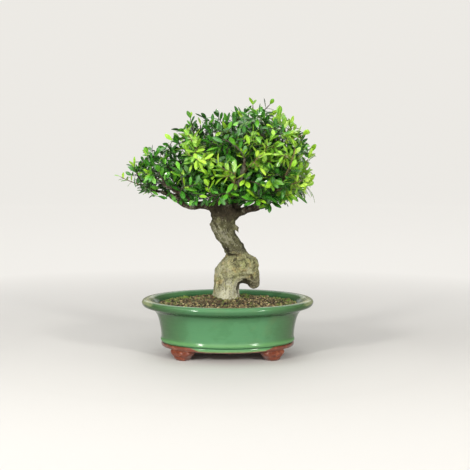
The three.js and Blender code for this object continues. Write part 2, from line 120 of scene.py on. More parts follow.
def layeredNoise(points, size, layers, seed):
    # each layer half the size and just over half the strength of the one before
    return sum(0.55**k * latticeNoise(points, size / 2**k, seed + k) for k in range(layers))


def smoothRoute(route, steps):
    # Catmull-Rom curve through the points, this many steps between neighbours, its ends held
    p = np.asarray(route, float)
    held = np.vstack([p[:1], p, p[-1:]])
    a, b, c, d = (held[k:len(p) - 1 + k, None] for k in range(4))
    t = (np.arange(steps) / steps)[None, :, None]
    curve = 0.5 * (2 * b + (c - a) * t + (2 * a - 5 * b + 4 * c - d) * t**2 + (3 * b - a - 3 * c + d) * t**3)
    return np.vstack([curve.reshape(-1, p.shape[1]), p[-1:]])


def gridFaces(rows, columns):
    # four-cornered faces between the rings of a grid, each ring closed on itself
    r = np.arange(rows - 1)[:, None] * columns
    c = np.arange(columns)[None, :]
    n = (c + 1) % columns
    return np.stack([r + c, r + n, r + n + columns, r + c + columns], -1).reshape(-1, 4)


def fanFaces(ring, tip, flip=False):
    # three-cornered faces from a ring to one tip
    nextOne = np.roll(ring, -1)
    fan = np.stack([ring, nextOne, np.full_like(ring, tip)], -1)
    return fan[:, ::-1] if flip else fan


def repeated(faces, count, per):
    # the faces of many alike shapes, each with this many points of its own
    return (faces[None] + (np.arange(count) * per)[:, None, None]).reshape(-1, faces.shape[1])


def closedGrid(rings):
    # a skin over rings (rows, columns, 3), shut at both ends by a fan to the ring's middle
    rows, columns = rings.shape[:2]
    points = np.vstack([rings.reshape(-1, 3), rings[0].mean(0), rings[-1].mean(0)])
    ends = rows * columns
    first = np.arange(columns)
    caps = np.vstack([fanFaces(first, ends, True), fanFaces(first + (rows - 1) * columns, ends + 1)])
    return points, gridFaces(rows, columns), caps


def tubeRings(route, sides):
    # rings square to the route (x, y, z, radius), carried along it with the least turn
    middle, radius = route[:, :3], route[:, 3]
    along = unit(np.gradient(middle, axis=0))
    side = np.cross([0, 0, 1] if abs(along[0, 2]) < 0.9 else [1, 0, 0], along[0])
    sidesAlong = []
    for heading in along:
        side = side - heading * side.dot(heading)
        side = side / np.linalg.norm(side)
        sidesAlong.append(side)
    right = np.array(sidesAlong)[:, None]
    over = np.cross(along[:, None], right)
    angle = roundAngles(sides)[:, None]
    return middle[:, None] + radius[:, None, None] * (np.cos(angle) * right + np.sin(angle) * over)


def joined(parts):
    # several closed grids as one: their points, and their side and end faces by turns
    points, faces, start = [], [], 0
    for place, sides, ends in parts:
        points.append(place)
        faces += [sides + start, ends + start]
        start += len(place)
    return np.vstack(points), faces


def addObject(name, data):
    made = bpy.data.objects.new(name, data)
    bpy.context.scene.collection.objects.link(made)
    return made


def meshOf(name, points, faces, smooth=True):
    # points in millimetres about the pot's middle, faces a list of arrays of corners
    mesh = bpy.data.meshes.new(name)
    mesh.from_pydata((points + potMiddle) * mm, [], [face for group in faces for face in group.tolist()])
    mesh.polygons.foreach_set("use_smooth", np.full(len(mesh.polygons), smooth))
    return mesh


def addMarks(mesh, name, values):
    # four values at each point, that a material reads by this name
    mark = mesh.attributes.new(name, "FLOAT_COLOR", "POINT")
    mark.data.foreach_set("color", values.astype(np.float32).ravel())


def makePiece(name, points, faces, materials, slot, marks=None, smooth=True, materialOf=None):
    mesh = meshOf(name, points, faces, smooth)
    if marks:
        addMarks(mesh, *marks)
    for material in materials:
        mesh.materials.append(material)
    if materialOf is not None:
        mesh.polygons.foreach_set("material_index", materialOf)
    mesh.update()
    piece = addObject(name, mesh)
    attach(piece, "root")
    return piece


def bakeModifiers(piece):  # the modifiers' result becomes the piece's own mesh
    bpy.context.view_layer.update()
    finished = bpy.data.meshes.new_from_object(piece.evaluated_get(bpy.context.evaluated_depsgraph_get()))
    piece.modifiers.clear()
    old, piece.data = piece.data, finished
    bpy.data.meshes.remove(old)
    finished.name = piece.name


def isSocket(value):
    return isinstance(value, bpy.types.NodeSocket)


def addNode(kind, values, tree=None, **settings):
    # values are numbers, colours and other nodes' sockets, which also tell the tree
    tree = tree or next(filter(isSocket, values.values())).id_data
    made = tree.nodes.new("ShaderNode" + kind)
    for key, value in settings.items():
        setattr(made, key, value)
    for key, value in values.items():
        socket = made.inputs[key]
        if isSocket(value):
            tree.links.new(value, socket)
        else:
            socket.default_value = (*value, 1) if socket.type == "RGBA" else value
    return made


def newMaterial(name, **plain):
    # the material, its shader, and the place on the object that patterns follow
    material = bpy.data.materials.new(name)
    material.use_nodes = True
    tree = material.node_tree
    shader = tree.nodes["Principled BSDF"]
    for key, value in plain.items():
        shader.inputs[key.replace("_", " ")].default_value = value
    return material, shader, addNode("TexCoord", {}, tree).outputs["Object"]


def connect(shader, **fields):
    # feeds each field to the shader's socket of that name
    for key, field in fields.items():
        shader.id_data.links.new(field, shader.inputs[key.replace("_", " ")])


def noiseAt(where, scale, detail=3.0, roughness=0.55, distortion=0.0):
    return addNode("TexNoise", {"Vector": where, "Scale": scale, "Detail": detail,
                                "Roughness": roughness, "Distortion": distortion}).outputs["Fac"]


def rampOf(value, stops):
    ramp = addNode("ValToRGB", {"Fac": value})
    line = ramp.color_ramp
    for place, _ in stops[2:]:
        line.elements.new(place)
    for element, (place, colour) in zip(line.elements, stops):
        element.position = place
        element.color = (*colour, 1)
    return ramp.outputs["Color"]


def rangeOf(value, low, high, toLow=0.0, toHigh=1.0, **settings):
    return addNode("MapRange", {"Value": value, "From Min": low, "From Max": high,
                                "To Min": toLow, "To Max": toHigh}, **settings).outputs["Result"]


def blend(share, a, b, kind="MIX"):
    return addNode("Mix", {0: share, 6: a, 7: b}, data_type="RGBA", blend_type=kind).outputs[2]


def strew(ground, patch, pattern, low, high, share=1.0):
    # lays one colour over another as the pattern passes from low to high
    return blend(rangeOf(pattern, low, high, 0, share), ground, patch)


def maths(operation, *values):
    return addNode("Math", dict(enumerate(values)), operation=operation).outputs[0]


def plus(a, b):
    return maths("ADD", a, b)


def less(a, b):
    return maths("SUBTRACT", a, b)


def times(a, b):
    return maths("MULTIPLY", a, b)


def bumpOf(height, distance, strength=1.0):
    return addNode("Bump", {"Height": height, "Distance": distance, "Strength": strength}).outputs["Normal"]


def dullMaterial(name, roughness, paint, grain, depth, strength=1.0):
    # paint makes a colour from the place; the grain is a noise that roughens the skin to this depth
    material, shader, where = newMaterial(name, Roughness=roughness)
    connect(shader, Base_Color=paint(where), Normal=bumpOf(noiseAt(where, *grain), depth, strength))
    return material


def makeMottle():
    # one colour broken by patches of another, and each strewn with fine light and dark specks
    group = bpy.data.node_groups.new("mottle", "ShaderNodeTree")
    for key, kind in (("Vector", "Vector"), ("Ground", "Color"), ("Patch", "Color"),
                      ("Size", "Float"), ("Cover", "Float"), ("Speck", "Float")):
        group.interface.new_socket(key, in_out="INPUT", socket_type="NodeSocket" + kind)
    group.interface.new_socket("Color", in_out="OUTPUT", socket_type="NodeSocketColor")
    given = group.nodes.new("NodeGroupInput").outputs
    edge = less(1.0, given["Cover"])
    softness = 0.06
    coarse = noiseAt(given["Vector"], given["Size"], 4, 0.6, 0.4)
    mask = rangeOf(coarse, less(edge, softness), plus(edge, softness), interpolation_type="SMOOTHSTEP")
    fine = noiseAt(given["Vector"], times(given["Size"], 9), 2, 0.7)
    shade = maths("MULTIPLY_ADD", less(fine, 0.5), given["Speck"], 1.0)
    tinted = blend(mask, given["Ground"], given["Patch"])
    scaled = addNode("VectorMath", {0: tinted, "Scale": shade}, operation="SCALE").outputs[0]
    group.links.new(scaled, group.nodes.new("NodeGroupOutput").inputs["Color"])
    return group


mottle = makeMottle()


def mottled(where, ground, patch, size, cover, speck):
    values = {"Vector": where, "Ground": ground, "Patch": patch, "Size": size, "Cover": cover, "Speck": speck}
    return addNode("Group", values, node_tree=mottle).outputs["Color"]


def markOf(where, name):
    # the four values that a piece carries at each point: red, green, blue and alpha
    mark = addNode("Attribute", {}, where.id_data, attribute_name=name).outputs
    parts = addNode("SeparateColor", {"Color": mark["Color"]}).outputs
    return parts["Red"], parts["Green"], parts["Blue"], mark["Alpha"]


pot = {
    "length": 245.0, "width": 195.0,
    "sides": 160, "stepsPerPoint": 4, "floorRings": 12, "waver": 0.0022,
    "floorZ": 20.5, "insidePoints": 6,  # the outline's last points lie inside the pot
    "drainX": 38.0, "drainRadius": 8.0, "drainSpan": (8.0, 28.0), "drainSides": 48,
    "glaze": (0.061, 0.172, 0.078), "glazeDeep": (0.054, 0.156, 0.068), "glazeWarm": (0.108, 0.150, 0.056),
    "glazeShadedEnds": (0.040, 0.058, 0.022), "glazeThin": (0.43, 0.43, 0.23), "glazeGrooveAndShade": (0.015, 0.050, 0.016),
    "glazeStreakAndHighlight": (0.092, 0.222, 0.080), "clay": (0.128, 0.029, 0.0125), "clayLight": (0.22, 0.064, 0.030),
    "pit": (0.05, 0.08, 0.03), "spot": (0.035, 0.045, 0.018),
}
foot = {
    "x": 69.5, "tangentHalf": 19.5, "radialHalf": 11.5, "height": 17.0,
    "rings": 44, "sides": 96, "squareness": 0.75,  # below one, squarer in plan than an oval
    # height and share of the full width
    "profile": [(0, 0.38), (0.6, 0.44), (2.2, 0.51), (5, 0.66), (8.5, 0.88), (11, 0.97), (13, 0.96),
                (14.6, 0.88), (17, 0.84)],
}
inset = (pot["length"] - pot["width"]) / 2
lip = pot["length"] / 2

# half length and height up the outside, over the rolled lip and down the inside
potOutline = [
    (91, 14), (94.4, 15.4), (95.2, 18.2), (94.8, 20.2), (93.6, 21), (95.5, 22), (96.2, 24.8), (95, 28.8),
    (95.5, 37), (97, 46), (99.2, 55), (102, 61.5), (106.5, 66.5), (113.5, 69.6), (lip - 2.4, 72.4),
    (lip, 76.8), (lip - 1.6, 80.4), (lip - 6, 82), (lip - 12, 81), (lip - 15.4, 77.6), (99.5, 69.5),
    (93.4, 56), (89.4, 43), (87, 29), (81, pot["floorZ"]),
]


def glazeMaterial():
    material, shader, where = newMaterial("celadonGlaze", Specular_IOR_Level=0.25)
    covered, thin, grooveAndShade, light = markOf(where, "fired")
    body = mottled(where, pot["glaze"], pot["glazeDeep"], 30, 0.45, 0.05)
    body = strew(body, pot["glazeWarm"], noiseAt(where, 22, 3, 0.6), 0.56, 0.72, 0.3)
    along = less(addNode("SeparateXYZ", {"Vector": where}).outputs["X"], potMiddle[0] * mm)
    # painted shade: the pot's two ends darker and browner, where the wall turns away from the light
    body = strew(body, pot["glazeShadedEnds"], maths("ABSOLUTE", along), 0.050, 0.102, 0.86)
    turned = addNode("Mapping", {"Vector": where, "Scale": (0.12, 0.12, 1.6)}).outputs["Vector"]
    streak = noiseAt(turned, 520, 3, 0.6)  # faint level lines left by the wheel
    # wheel streaks, and the painted highlight along the mouldings and the lip's top, take the lighter glaze
    body = blend(plus(rangeOf(streak, 0.35, 0.75, 0, 0.16), times(light, 0.9)), body, pot["glazeStreakAndHighlight"])
    # the groove darker, and painted shade under the lip, on its face and inside the rim
    body = blend(grooveAndShade, body, pot["glazeGrooveAndShade"])
    thin = plus(thin, rangeOf(noiseAt(where, 110), 0.3, 0.7, -0.09, 0.07))
    glazed = strew(body, pot["glazeThin"], thin, 0.2, 0.95)
    pits, spots = (addNode("TexVoronoi", {"Vector": where, "Scale": scale}).outputs["Distance"]
                   for scale in (150, 26))
    glazed = blend(rangeOf(pits, 0.035, 0.075, 0.5, 0), glazed, pot["pit"])
    glazed = blend(rangeOf(spots, 0.012, 0.028, 0.85, 0), glazed, pot["spot"])
    clay = mottled(where, pot["clay"], pot["clayLight"], 120, 0.42, 0.4)
    rough = addNode("Mix", {0: covered, 2: 0.30, 3: rangeOf(streak, 0.3, 0.7, 0.12, 0.19)}).outputs[0]
    skin = plus(noiseAt(where, 55, 2), times(streak, 0.10))
    skin = plus(skin, rangeOf(pits, 0, 0.08, -0.25, 0))
    # the bare clay has a clear glossy skin, but is pressed by hand, so its shine breaks up
    skin = plus(skin, times(noiseAt(where, 230, 2), rangeOf(covered, 0, 1, 2.6, 0)))
    connect(shader, Base_Color=blend(covered, clay, glazed), Roughness=rough,
            Coat_Weight=less(0.9, times(covered, 0.9)), Normal=bumpOf(skin, 0.0005, 0.3))
    return material


def footRings(signX, signY):
    # level ovals from a small sole to a wide shoulder; a raised bead follows both edges and the sole
    halfX = potOutline[1][0]
    halfY = halfX - inset
    edgeY = halfY * math.sqrt(1 - (foot["x"] / halfX) ** 2)
    turn = math.atan2(foot["x"] / halfX**2, edgeY / halfY**2)
    z = np.linspace(0, 1, foot["rings"])[:, None] * foot["height"]
    scale = np.interp(z, *zip(*foot["profile"]))
    angle = roundAngles(foot["sides"])
    across, outward = (np.sign(wave) * np.abs(wave) ** foot["squareness"]
                       for wave in (np.cos(angle), np.sin(angle)))
    face = smoothStep(-0.1, 0.5, outward)
    bead = 0.10 * bell(np.abs(across), 0.80, 0.14) * face + 0.09 * bell(z, 2.0, 1.5)
    hollow = 0.13 * smoothStep(0.62, 0.35, np.abs(across)) * face * smoothStep(3.2, 6, z)
    # a small cloud curl in the middle
    curl = 0.12 * bell(np.hypot(across * 0.9, (z - 9.0) / 6.5), 0.28, 0.16) * face
    swell = 1 + bead - hollow + curl
    u = foot["tangentHalf"] * scale * across * (1 + 0.4 * bead)
    v = foot["radialHalf"] * mix(1, scale, 0.32) * outward * np.where(outward > 0, swell * 0.95, 1)
    v = v * (1 + 0.10 * bell(z, 7.5, 3.5) * face)
    x = foot["x"] - math.sin(turn) * foot["radialHalf"] + u * math.cos(turn) + v * math.sin(turn)
    y = edgeY - math.cos(turn) * foot["radialHalf"] - u * math.sin(turn) + v * math.cos(turn)
    rings = xyz(x * signX, y * signY, z)
    return rings if signX * signY > 0 else rings[:, ::-1]


def halfOf(points):
    # the half length of the oval that each point lies on, by repeated correction
    x, y = np.abs(points[:, 0]), np.abs(points[:, 1])
    size = np.full(len(points), lip)
    for _ in range(12):
        over = (x / size) ** 2 + (y / np.maximum(size - inset, 1)) ** 2
        size = np.maximum(size * np.sqrt(over) * 0.5 + size * 0.5, inset + 2)
    return size


def glazeMarks(points):
    # for each point of the wall: glaze over clay, thin glaze on an edge with the lip paler at its ends, a
    # darker groove and painted shade, painted highlight
    rimStart = pot["floorRings"] + (len(potOutline) - pot["insidePoints"]) * pot["stepsPerPoint"]
    inner = np.arange(len(points)) >= rimStart * pot["sides"]
    wall = 1 - inner
    x, y, height = points.T
    # glaze covers the lowest bead at the front and back, and stops at the groove by the feet
    shaken = x * np.sign(-y) - 6 + 2.0 * layeredNoise(points, 12.0, 2, 61)
    stop = mix(16.1, 20.7, smoothStep(44, 62, np.abs(shaken))) + 0.3 * layeredNoise(points, 6.0, 2, 5)
    glazed = np.where(inner, 1.0, smoothStep(-0.3, 0.3, height - stop))
    thin = 0.75 * bell(height, 82, 1.0) * bell(halfOf(points), lip - 8.0, 2.2) * smoothStep(20, -50, y) \
        + wall * (0.15 * bell(height, 22.3, 0.8) + 0.35 * bell(height, 17.0, 1.4))
    ends = 0.5 * smoothStep(0.78, 0.93, np.abs(x) / lip) * smoothStep(74, 79, height)
    # the groove above the bead darker; painted shade under the lip, on the lip's face and down the inside
    # below the rim
    grooveAndShade = wall * (0.95 * bell(height, 68.8, 3.0) + 0.6 * bell(height, 20.9, 0.6)
                     + 0.42 * bell(height, 76, 4.5)) + 0.9 * smoothStep(80, 74, height) * inner
    # painted highlight along the mouldings and on the lip's top
    light = wall * (bell(height, 25.2, 2.6) + 0.8 * bell(height, 17.6, 2.2)) + 0.2 * bell(height, 80, 3)
    return np.clip(np.stack([glazed, thin + ends, grooveAndShade, light], -1), 0, 1)


def buildPot():
    # the outline carried round an oval: a half length at each height, and the same less the inset as
    # half width, with rings across the floor below and inside
    half, z = smoothRoute(potOutline, pot["stepsPerPoint"]).T
    outwards = np.linspace(0.02, 0.98, pot["floorRings"])
    inwards = np.linspace(0.98, 0.02, pot["floorRings"])
    halfX, halfY = (np.concatenate([outwards * size[0], size, inwards * size[-1]])[:, None]
                    for size in (half, half - inset))
    z = np.pad(z, pot["floorRings"], "edge")[:, None]
    angle = roundAngles(pot["sides"])
    rings = xyz(halfX * np.cos(angle), halfY * np.sin(angle), z)
    wave = layeredNoise(rings, 60.0, 2, 31)  # a hand-turned wall is never quite true
    lift = smoothStep(24, 60, rings[..., 2])
    rings[..., :2] *= 1 + pot["waver"] * (wave * lift)[..., None]
    body = closedGrid(rings)
    feet = [closedGrid(footRings(x, y)) for x, y in ((1, 1), (-1, 1), (1, -1), (-1, -1))]
    points, faces = joined([body, *feet])
    marks = np.zeros((len(points), 4))
    marks[:len(body[0])] = glazeMarks(body[0])
    piece = makePiece("glazed_pot", points, faces, [glazeMaterial()], "glazed_clay", ("fired", marks))
    cutters = []
    for x in (-pot["drainX"], pot["drainX"]):
        route = np.array([(x, 0.0, level, pot["drainRadius"]) for level in pot["drainSpan"]])
        bore = closedGrid(tubeRings(route, pot["drainSides"]))
        cutters.append(makePiece("bore", bore[0], bore[1:], [], "glazed_clay"))
        cut = piece.modifiers.new("drain", "BOOLEAN")
        cut.operation, cut.object, cut.solver = "DIFFERENCE", cutters[-1], "EXACT"
    bakeModifiers(piece)
    for cutter in cutters:
        bpy.data.objects.remove(cutter)
    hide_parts("pot")


buildPot()
print("pot done")


wood = {
    "voxel": 0.95, "smoothing": 3, "relief": 0.0016,
    "trunkSides": 110, "trunkSteps": 8, "limbSides": 20, "limbSteps": 10, "hookSides": 60, "hookSteps": 8,
    "dark": (0.026, 0.023, 0.012), "olive": (0.075, 0.073, 0.034), "tan": (0.205, 0.200, 0.095),
    "grey": (0.16, 0.155, 0.10), "bulb": (0.34, 0.335, 0.175), "pale": (0.46, 0.45, 0.33),
    "limb": (0.046, 0.028, 0.018), "limbLight": (0.115, 0.080, 0.050), "lichen": (0.33, 0.35, 0.15),
    "root": (0.165, 0.135, 0.068), "crackAndShade": (0.028, 0.022, 0.012), "fleck": (0.070, 0.066, 0.030),
    "ochre": (0.42, 0.31, 0.12),
}
# height, centre x, centre y, half width in x, half depth in y
trunkSections = [
    (54, -3, 22, 13, 12), (62, -3, 22, 17, 15), (72, -3, 22, 20, 18), (80, -3, 22, 20.5, 18.5),
    (87, -3, 22, 18.6, 17.5), (96, -2.5, 22, 18.2, 17), (106, 1, 21.5, 20.2, 18.5), (115, 7, 21, 24.4, 21),
    (123, 14, 20.5, 30.2, 22.5), (130, 15.6, 20, 28.2, 22.5), (136, 17, 19.5, 23.6, 20.5),
    (141, 15.4, 19, 18.2, 17), (146, 12.6, 18.5, 15.8, 14.8), (154, 8.2, 18, 15.6, 14.2),
    (164, 2, 17, 15.8, 14.4), (174, -4, 16, 15.8, 14.8), (186, -6.7, 15, 16.4, 15),
    (196, -5.8, 14.5, 15.8, 15), (205, -3.6, 14, 17.6, 16.5), (212, -2.6, 14, 17.2, 15.5),
    (218, -2, 14, 11, 10.5),
]
# knobs on the trunk's left and front, then hollows in the bulb and the hooked root, each of them
# x, height, size, flatness, depth
leftKnobs = [(-22.5, 201, 4.0, 0.75, 2.6), (-22, 187, 4.5, 0.8, 1.6)]
frontKnobs = [(10.5, 199, 4, 0.8, 1.2)]
pitPlaces = [(20.5, 120.5, 3.4, 2.2, 0.9), (34.6, 112.0, 4.0, 1.0, 3.0), (10.5, 122.0, 2.4, 1.4, 0.9),
             (27.0, 128.5, 2.2, 0.8, 0.8), (26.5, 104.5, 3.6, 1.6, 1.4)]
hookRoute = [(12, 19, 119.6, 18.4), (26, 18, 118.8, 17.6), (33, 17.5, 112.5, 13.8), (36.4, 17.5, 105, 9.8),
             (37.2, 17.5, 100.4, 8.2), (36.8, 17.5, 96.6, 5.8), (36.4, 17.5, 94, 1.5)]
archRoute = [(13, 19, 112, 9.5), (22, 18, 111, 9.2), (31, 17.5, 107.5, 8)]  # closes the top of the arch
flakeRoutes = [  # loose bark that hangs off the edge in two ragged points
    [(8, 9, 187, 2.2), (11.8, 8.8, 183.5, 1.8), (13.8, 8.7, 179, 1.3), (16.2, 8.7, 173.8, 0.6)],
    [(8, 9, 181, 2.4), (12.6, 8.8, 181, 1.5), (15.4, 8.8, 182.6, 0.6)],
]
limbs = {
    "left": [(-8, 13, 204, 8), (-26, 12, 214, 6.6), (-46, 11, 215, 6.2), (-60, 9, 217, 6.6),
             (-71, 8, 223, 4.6), (-86, 8, 231, 3.2), (-108, 6, 238, 2.2), (-126, 4, 245, 1.7)],
    "leftUp": [(-62, 9, 218, 5), (-69, 15, 232, 4), (-66, 18, 248, 3.2), (-78, 20, 263, 2.4),
               (-92, 18, 276, 1.7)],
    "leftFront": [(-44, 11, 215, 5), (-54, -6, 226, 3.6), (-70, -22, 236, 2.8), (-90, -34, 248, 1.8)],
    "leftBack": [(-52, 10, 216, 5), (-62, 30, 228, 3.4), (-80, 46, 240, 2.4), (-98, 52, 252, 1.7)],
    "centreLeft": [(-9, 11, 206, 8), (-19, 5, 228, 6), (-27, -2, 249, 4.4), (-38, -8, 270, 3.2),
                   (-44, -10, 294, 2.2), (-46, -8, 310, 1.7)],
    "leader": [(-1, 16, 208, 9), (-1, 22, 232, 6.6), (8, 25, 256, 5.4), (20, 22, 280, 4.2), (28, 18, 306, 3),
               (36, 14, 328, 2)],
    "backLeft": [(-4, 20, 224, 6), (-14, 40, 242, 4), (-26, 52, 262, 3), (-34, 56, 286, 1.9)],
    "rightUp": [(5, 14, 208, 8), (20, 10, 223, 5.8), (37, 6, 238, 4.8), (52, 4, 260, 3.8), (64, 6, 284, 2.8),
                (78, 8, 306, 1.8)],
    "rightLow": [(8, 13, 202, 7), (26, 11, 207, 5.6), (42, 9, 212, 5), (52, 7, 219, 4.2), (66, 6, 226, 3.2),
                 (84, 6, 233, 2.4), (101, 5, 240, 1.7)],
    "front": [(-1, 8, 210, 7), (2, -14, 224, 4.8), (10, -32, 240, 3.6), (20, -48, 260, 2.6),
              (24, -56, 284, 1.8)],
    "frontRight": [(30, 11, 208, 4.6), (46, -10, 221, 3.6), (64, -28, 236, 2.6), (78, -40, 256, 1.8)],
    "back": [(2, 20, 212, 7), (8, 40, 226, 4.6), (14, 60, 242, 3.4), (18, 72, 264, 2.4), (20, 74, 290, 1.7)],
    "backRight": [(24, 10, 226, 5), (40, 30, 238, 3.8), (58, 46, 250, 2.8), (76, 54, 268, 1.8)],
}
limbRoutes = {name: smoothRoute(route, 2) for name, route in limbs.items()}


def layered(colour, *layers):
    # lays the wood's colours one over another: name, pattern, low, high, share
    for patch, *pattern in layers:
        colour = strew(colour, wood[patch], *pattern)
    return colour


def barkMaterial():
    material, shader, where = newMaterial("livingBark", Roughness=0.82, Specular_IOR_Level=0.2)
    rise, toneAndShade, onLimb, onHook = markOf(where, "bark")  # rise: nought at the foot, one at the fork
    upright = addNode("Mapping", {"Vector": where, "Scale": (1, 1, 0.34)}).outputs["Vector"]
    grain = noiseAt(upright, 380, 5, 0.7, 0.6)
    speck = noiseAt(where, 430, 4, 0.72, 0.4)
    flecks = noiseAt(where, 210, 4, 0.7, 1)
    upper = layered(mottled(upright, wood["olive"], wood["dark"], 170, 0.42, 1),
                    ("tan", noiseAt(where, 62, 4), 0.52, 0.64, 0.5),
                    ("grey", noiseAt(where, 38), 0.52, 0.66, 0.5))
    bulb = layered(mottled(where, wood["bulb"], wood["tan"], 105, 0.55, 1),
                   ("fleck", noiseAt(where, 150, 5, 0.66, 1), 0.52, 0.62, 0.8),
                   ("lichen", noiseAt(where, 52, 4, 0.6, 0.6), 0.50, 0.62, 0.6),
                   ("ochre", noiseAt(where, 84, 4, 0.6, 0.8), 0.54, 0.64, 0.5))
    base = layered(mottled(upright, wood["pale"], wood["bulb"], 160, 0.40, 0.8),
                   ("tan", flecks, 0.55, 0.64, 0.7))
    limb = layered(mottled(where, wood["limb"], wood["dark"], 200, 0.5, 0.9),
                   ("limbLight", noiseAt(where, 60), 0.55, 0.7, 0.5))
    root = layered(mottled(where, wood["root"], wood["dark"], 180, 0.46, 0.9),
                   ("tan", noiseAt(where, 130, 4, 0.65, 1), 0.50, 0.60, 0.8),
                   ("bulb", flecks, 0.57, 0.66, 0.9))
    rise = plus(rise, rangeOf(noiseAt(where, 45), 0.25, 0.75, -0.06, 0.06))
    colour = strew(base, bulb, rise, 0.17, 0.30)
    colour = strew(colour, upper, rise, 0.475, 0.53)
    colour = strew(colour, limb, rise, 0.85, 0.95, 0.8)
    # the crack colour takes real cracks in the bark and, at the lowest tone, painted shade; the highest tone
    # takes the pale colour
    colour = layered(blend(onHook, blend(onLimb, colour, limb), root),
                     ("crackAndShade", speck, 0.46, 0.34, 0.75), ("crackAndShade", grain, 0.46, 0.34, 0.75),
                     ("pale", speck, 0.57, 0.68, 0.6), ("crackAndShade", toneAndShade, 0.40, 0.05, 0.85),
                     ("pale", toneAndShade, 0.60, 0.95, 0.3))
    fine = plus(plus(grain, times(speck, 1.1)), times(flecks, 0.8))
    fine = plus(fine, times(noiseAt(where, 1300, 3, 0.7), 0.3))
    connect(shader, Base_Color=colour, Normal=bumpOf(fine, wood["relief"]))
    return material


def trunkRings():
    # level ovals from the sections, with ribs that run up the trunk and a fluted foot
    z, x, y, halfX, halfY = (column[:, None] for column in smoothRoute(trunkSections, wood["trunkSteps"]).T)
    angle = roundAngles(wood["trunkSides"])
    swell = 1 + 0.03 * np.sin(3 * angle + z * 0.09) + 0.022 * np.sin(5 * angle - z * 0.13) \
        + 0.05 * smoothStep(92, 82, z) * np.cos(4 * angle + 0.6) \
        + 0.02 * smoothStep(100, 80, z) * np.cos(11 * angle)
    swell = swell * (1 - 0.09 * smoothStep(94, 82, z))
    return xyz(x + halfX * swell * np.cos(angle), y + halfY * swell * np.sin(angle), z)


def trunkAt(z):
    # the trunk's centre and half widths at each height
    height, *columns = np.array(trunkSections, float).T
    return [np.interp(z, height, column) for column in columns]


def trunkShare(points):
    # one on the trunk and its hooked root, falling to nought out along the limbs
    x, y, z = points.T
    middleX, middleY, halfX, halfY = trunkAt(z)
    out = np.hypot((x - middleX) / halfX, (y - middleY) / halfY)
    return np.maximum(smoothStep(1.7, 1.15, out) * smoothStep(226, 212, z), smoothStep(150, 140, z))


def swellings(x, z, places):
    # a soft rise at each place, as seen from the front
    return sum(depth * bell(np.hypot(x - px, (z - pz) * tall), 0, size)
               for px, pz, size, tall, depth in places)


def ridged(points, size, seed):
    # one along winding lines, falling to minus one between them
    return 1 - 2 * np.abs(latticeNoise(points, size, seed))


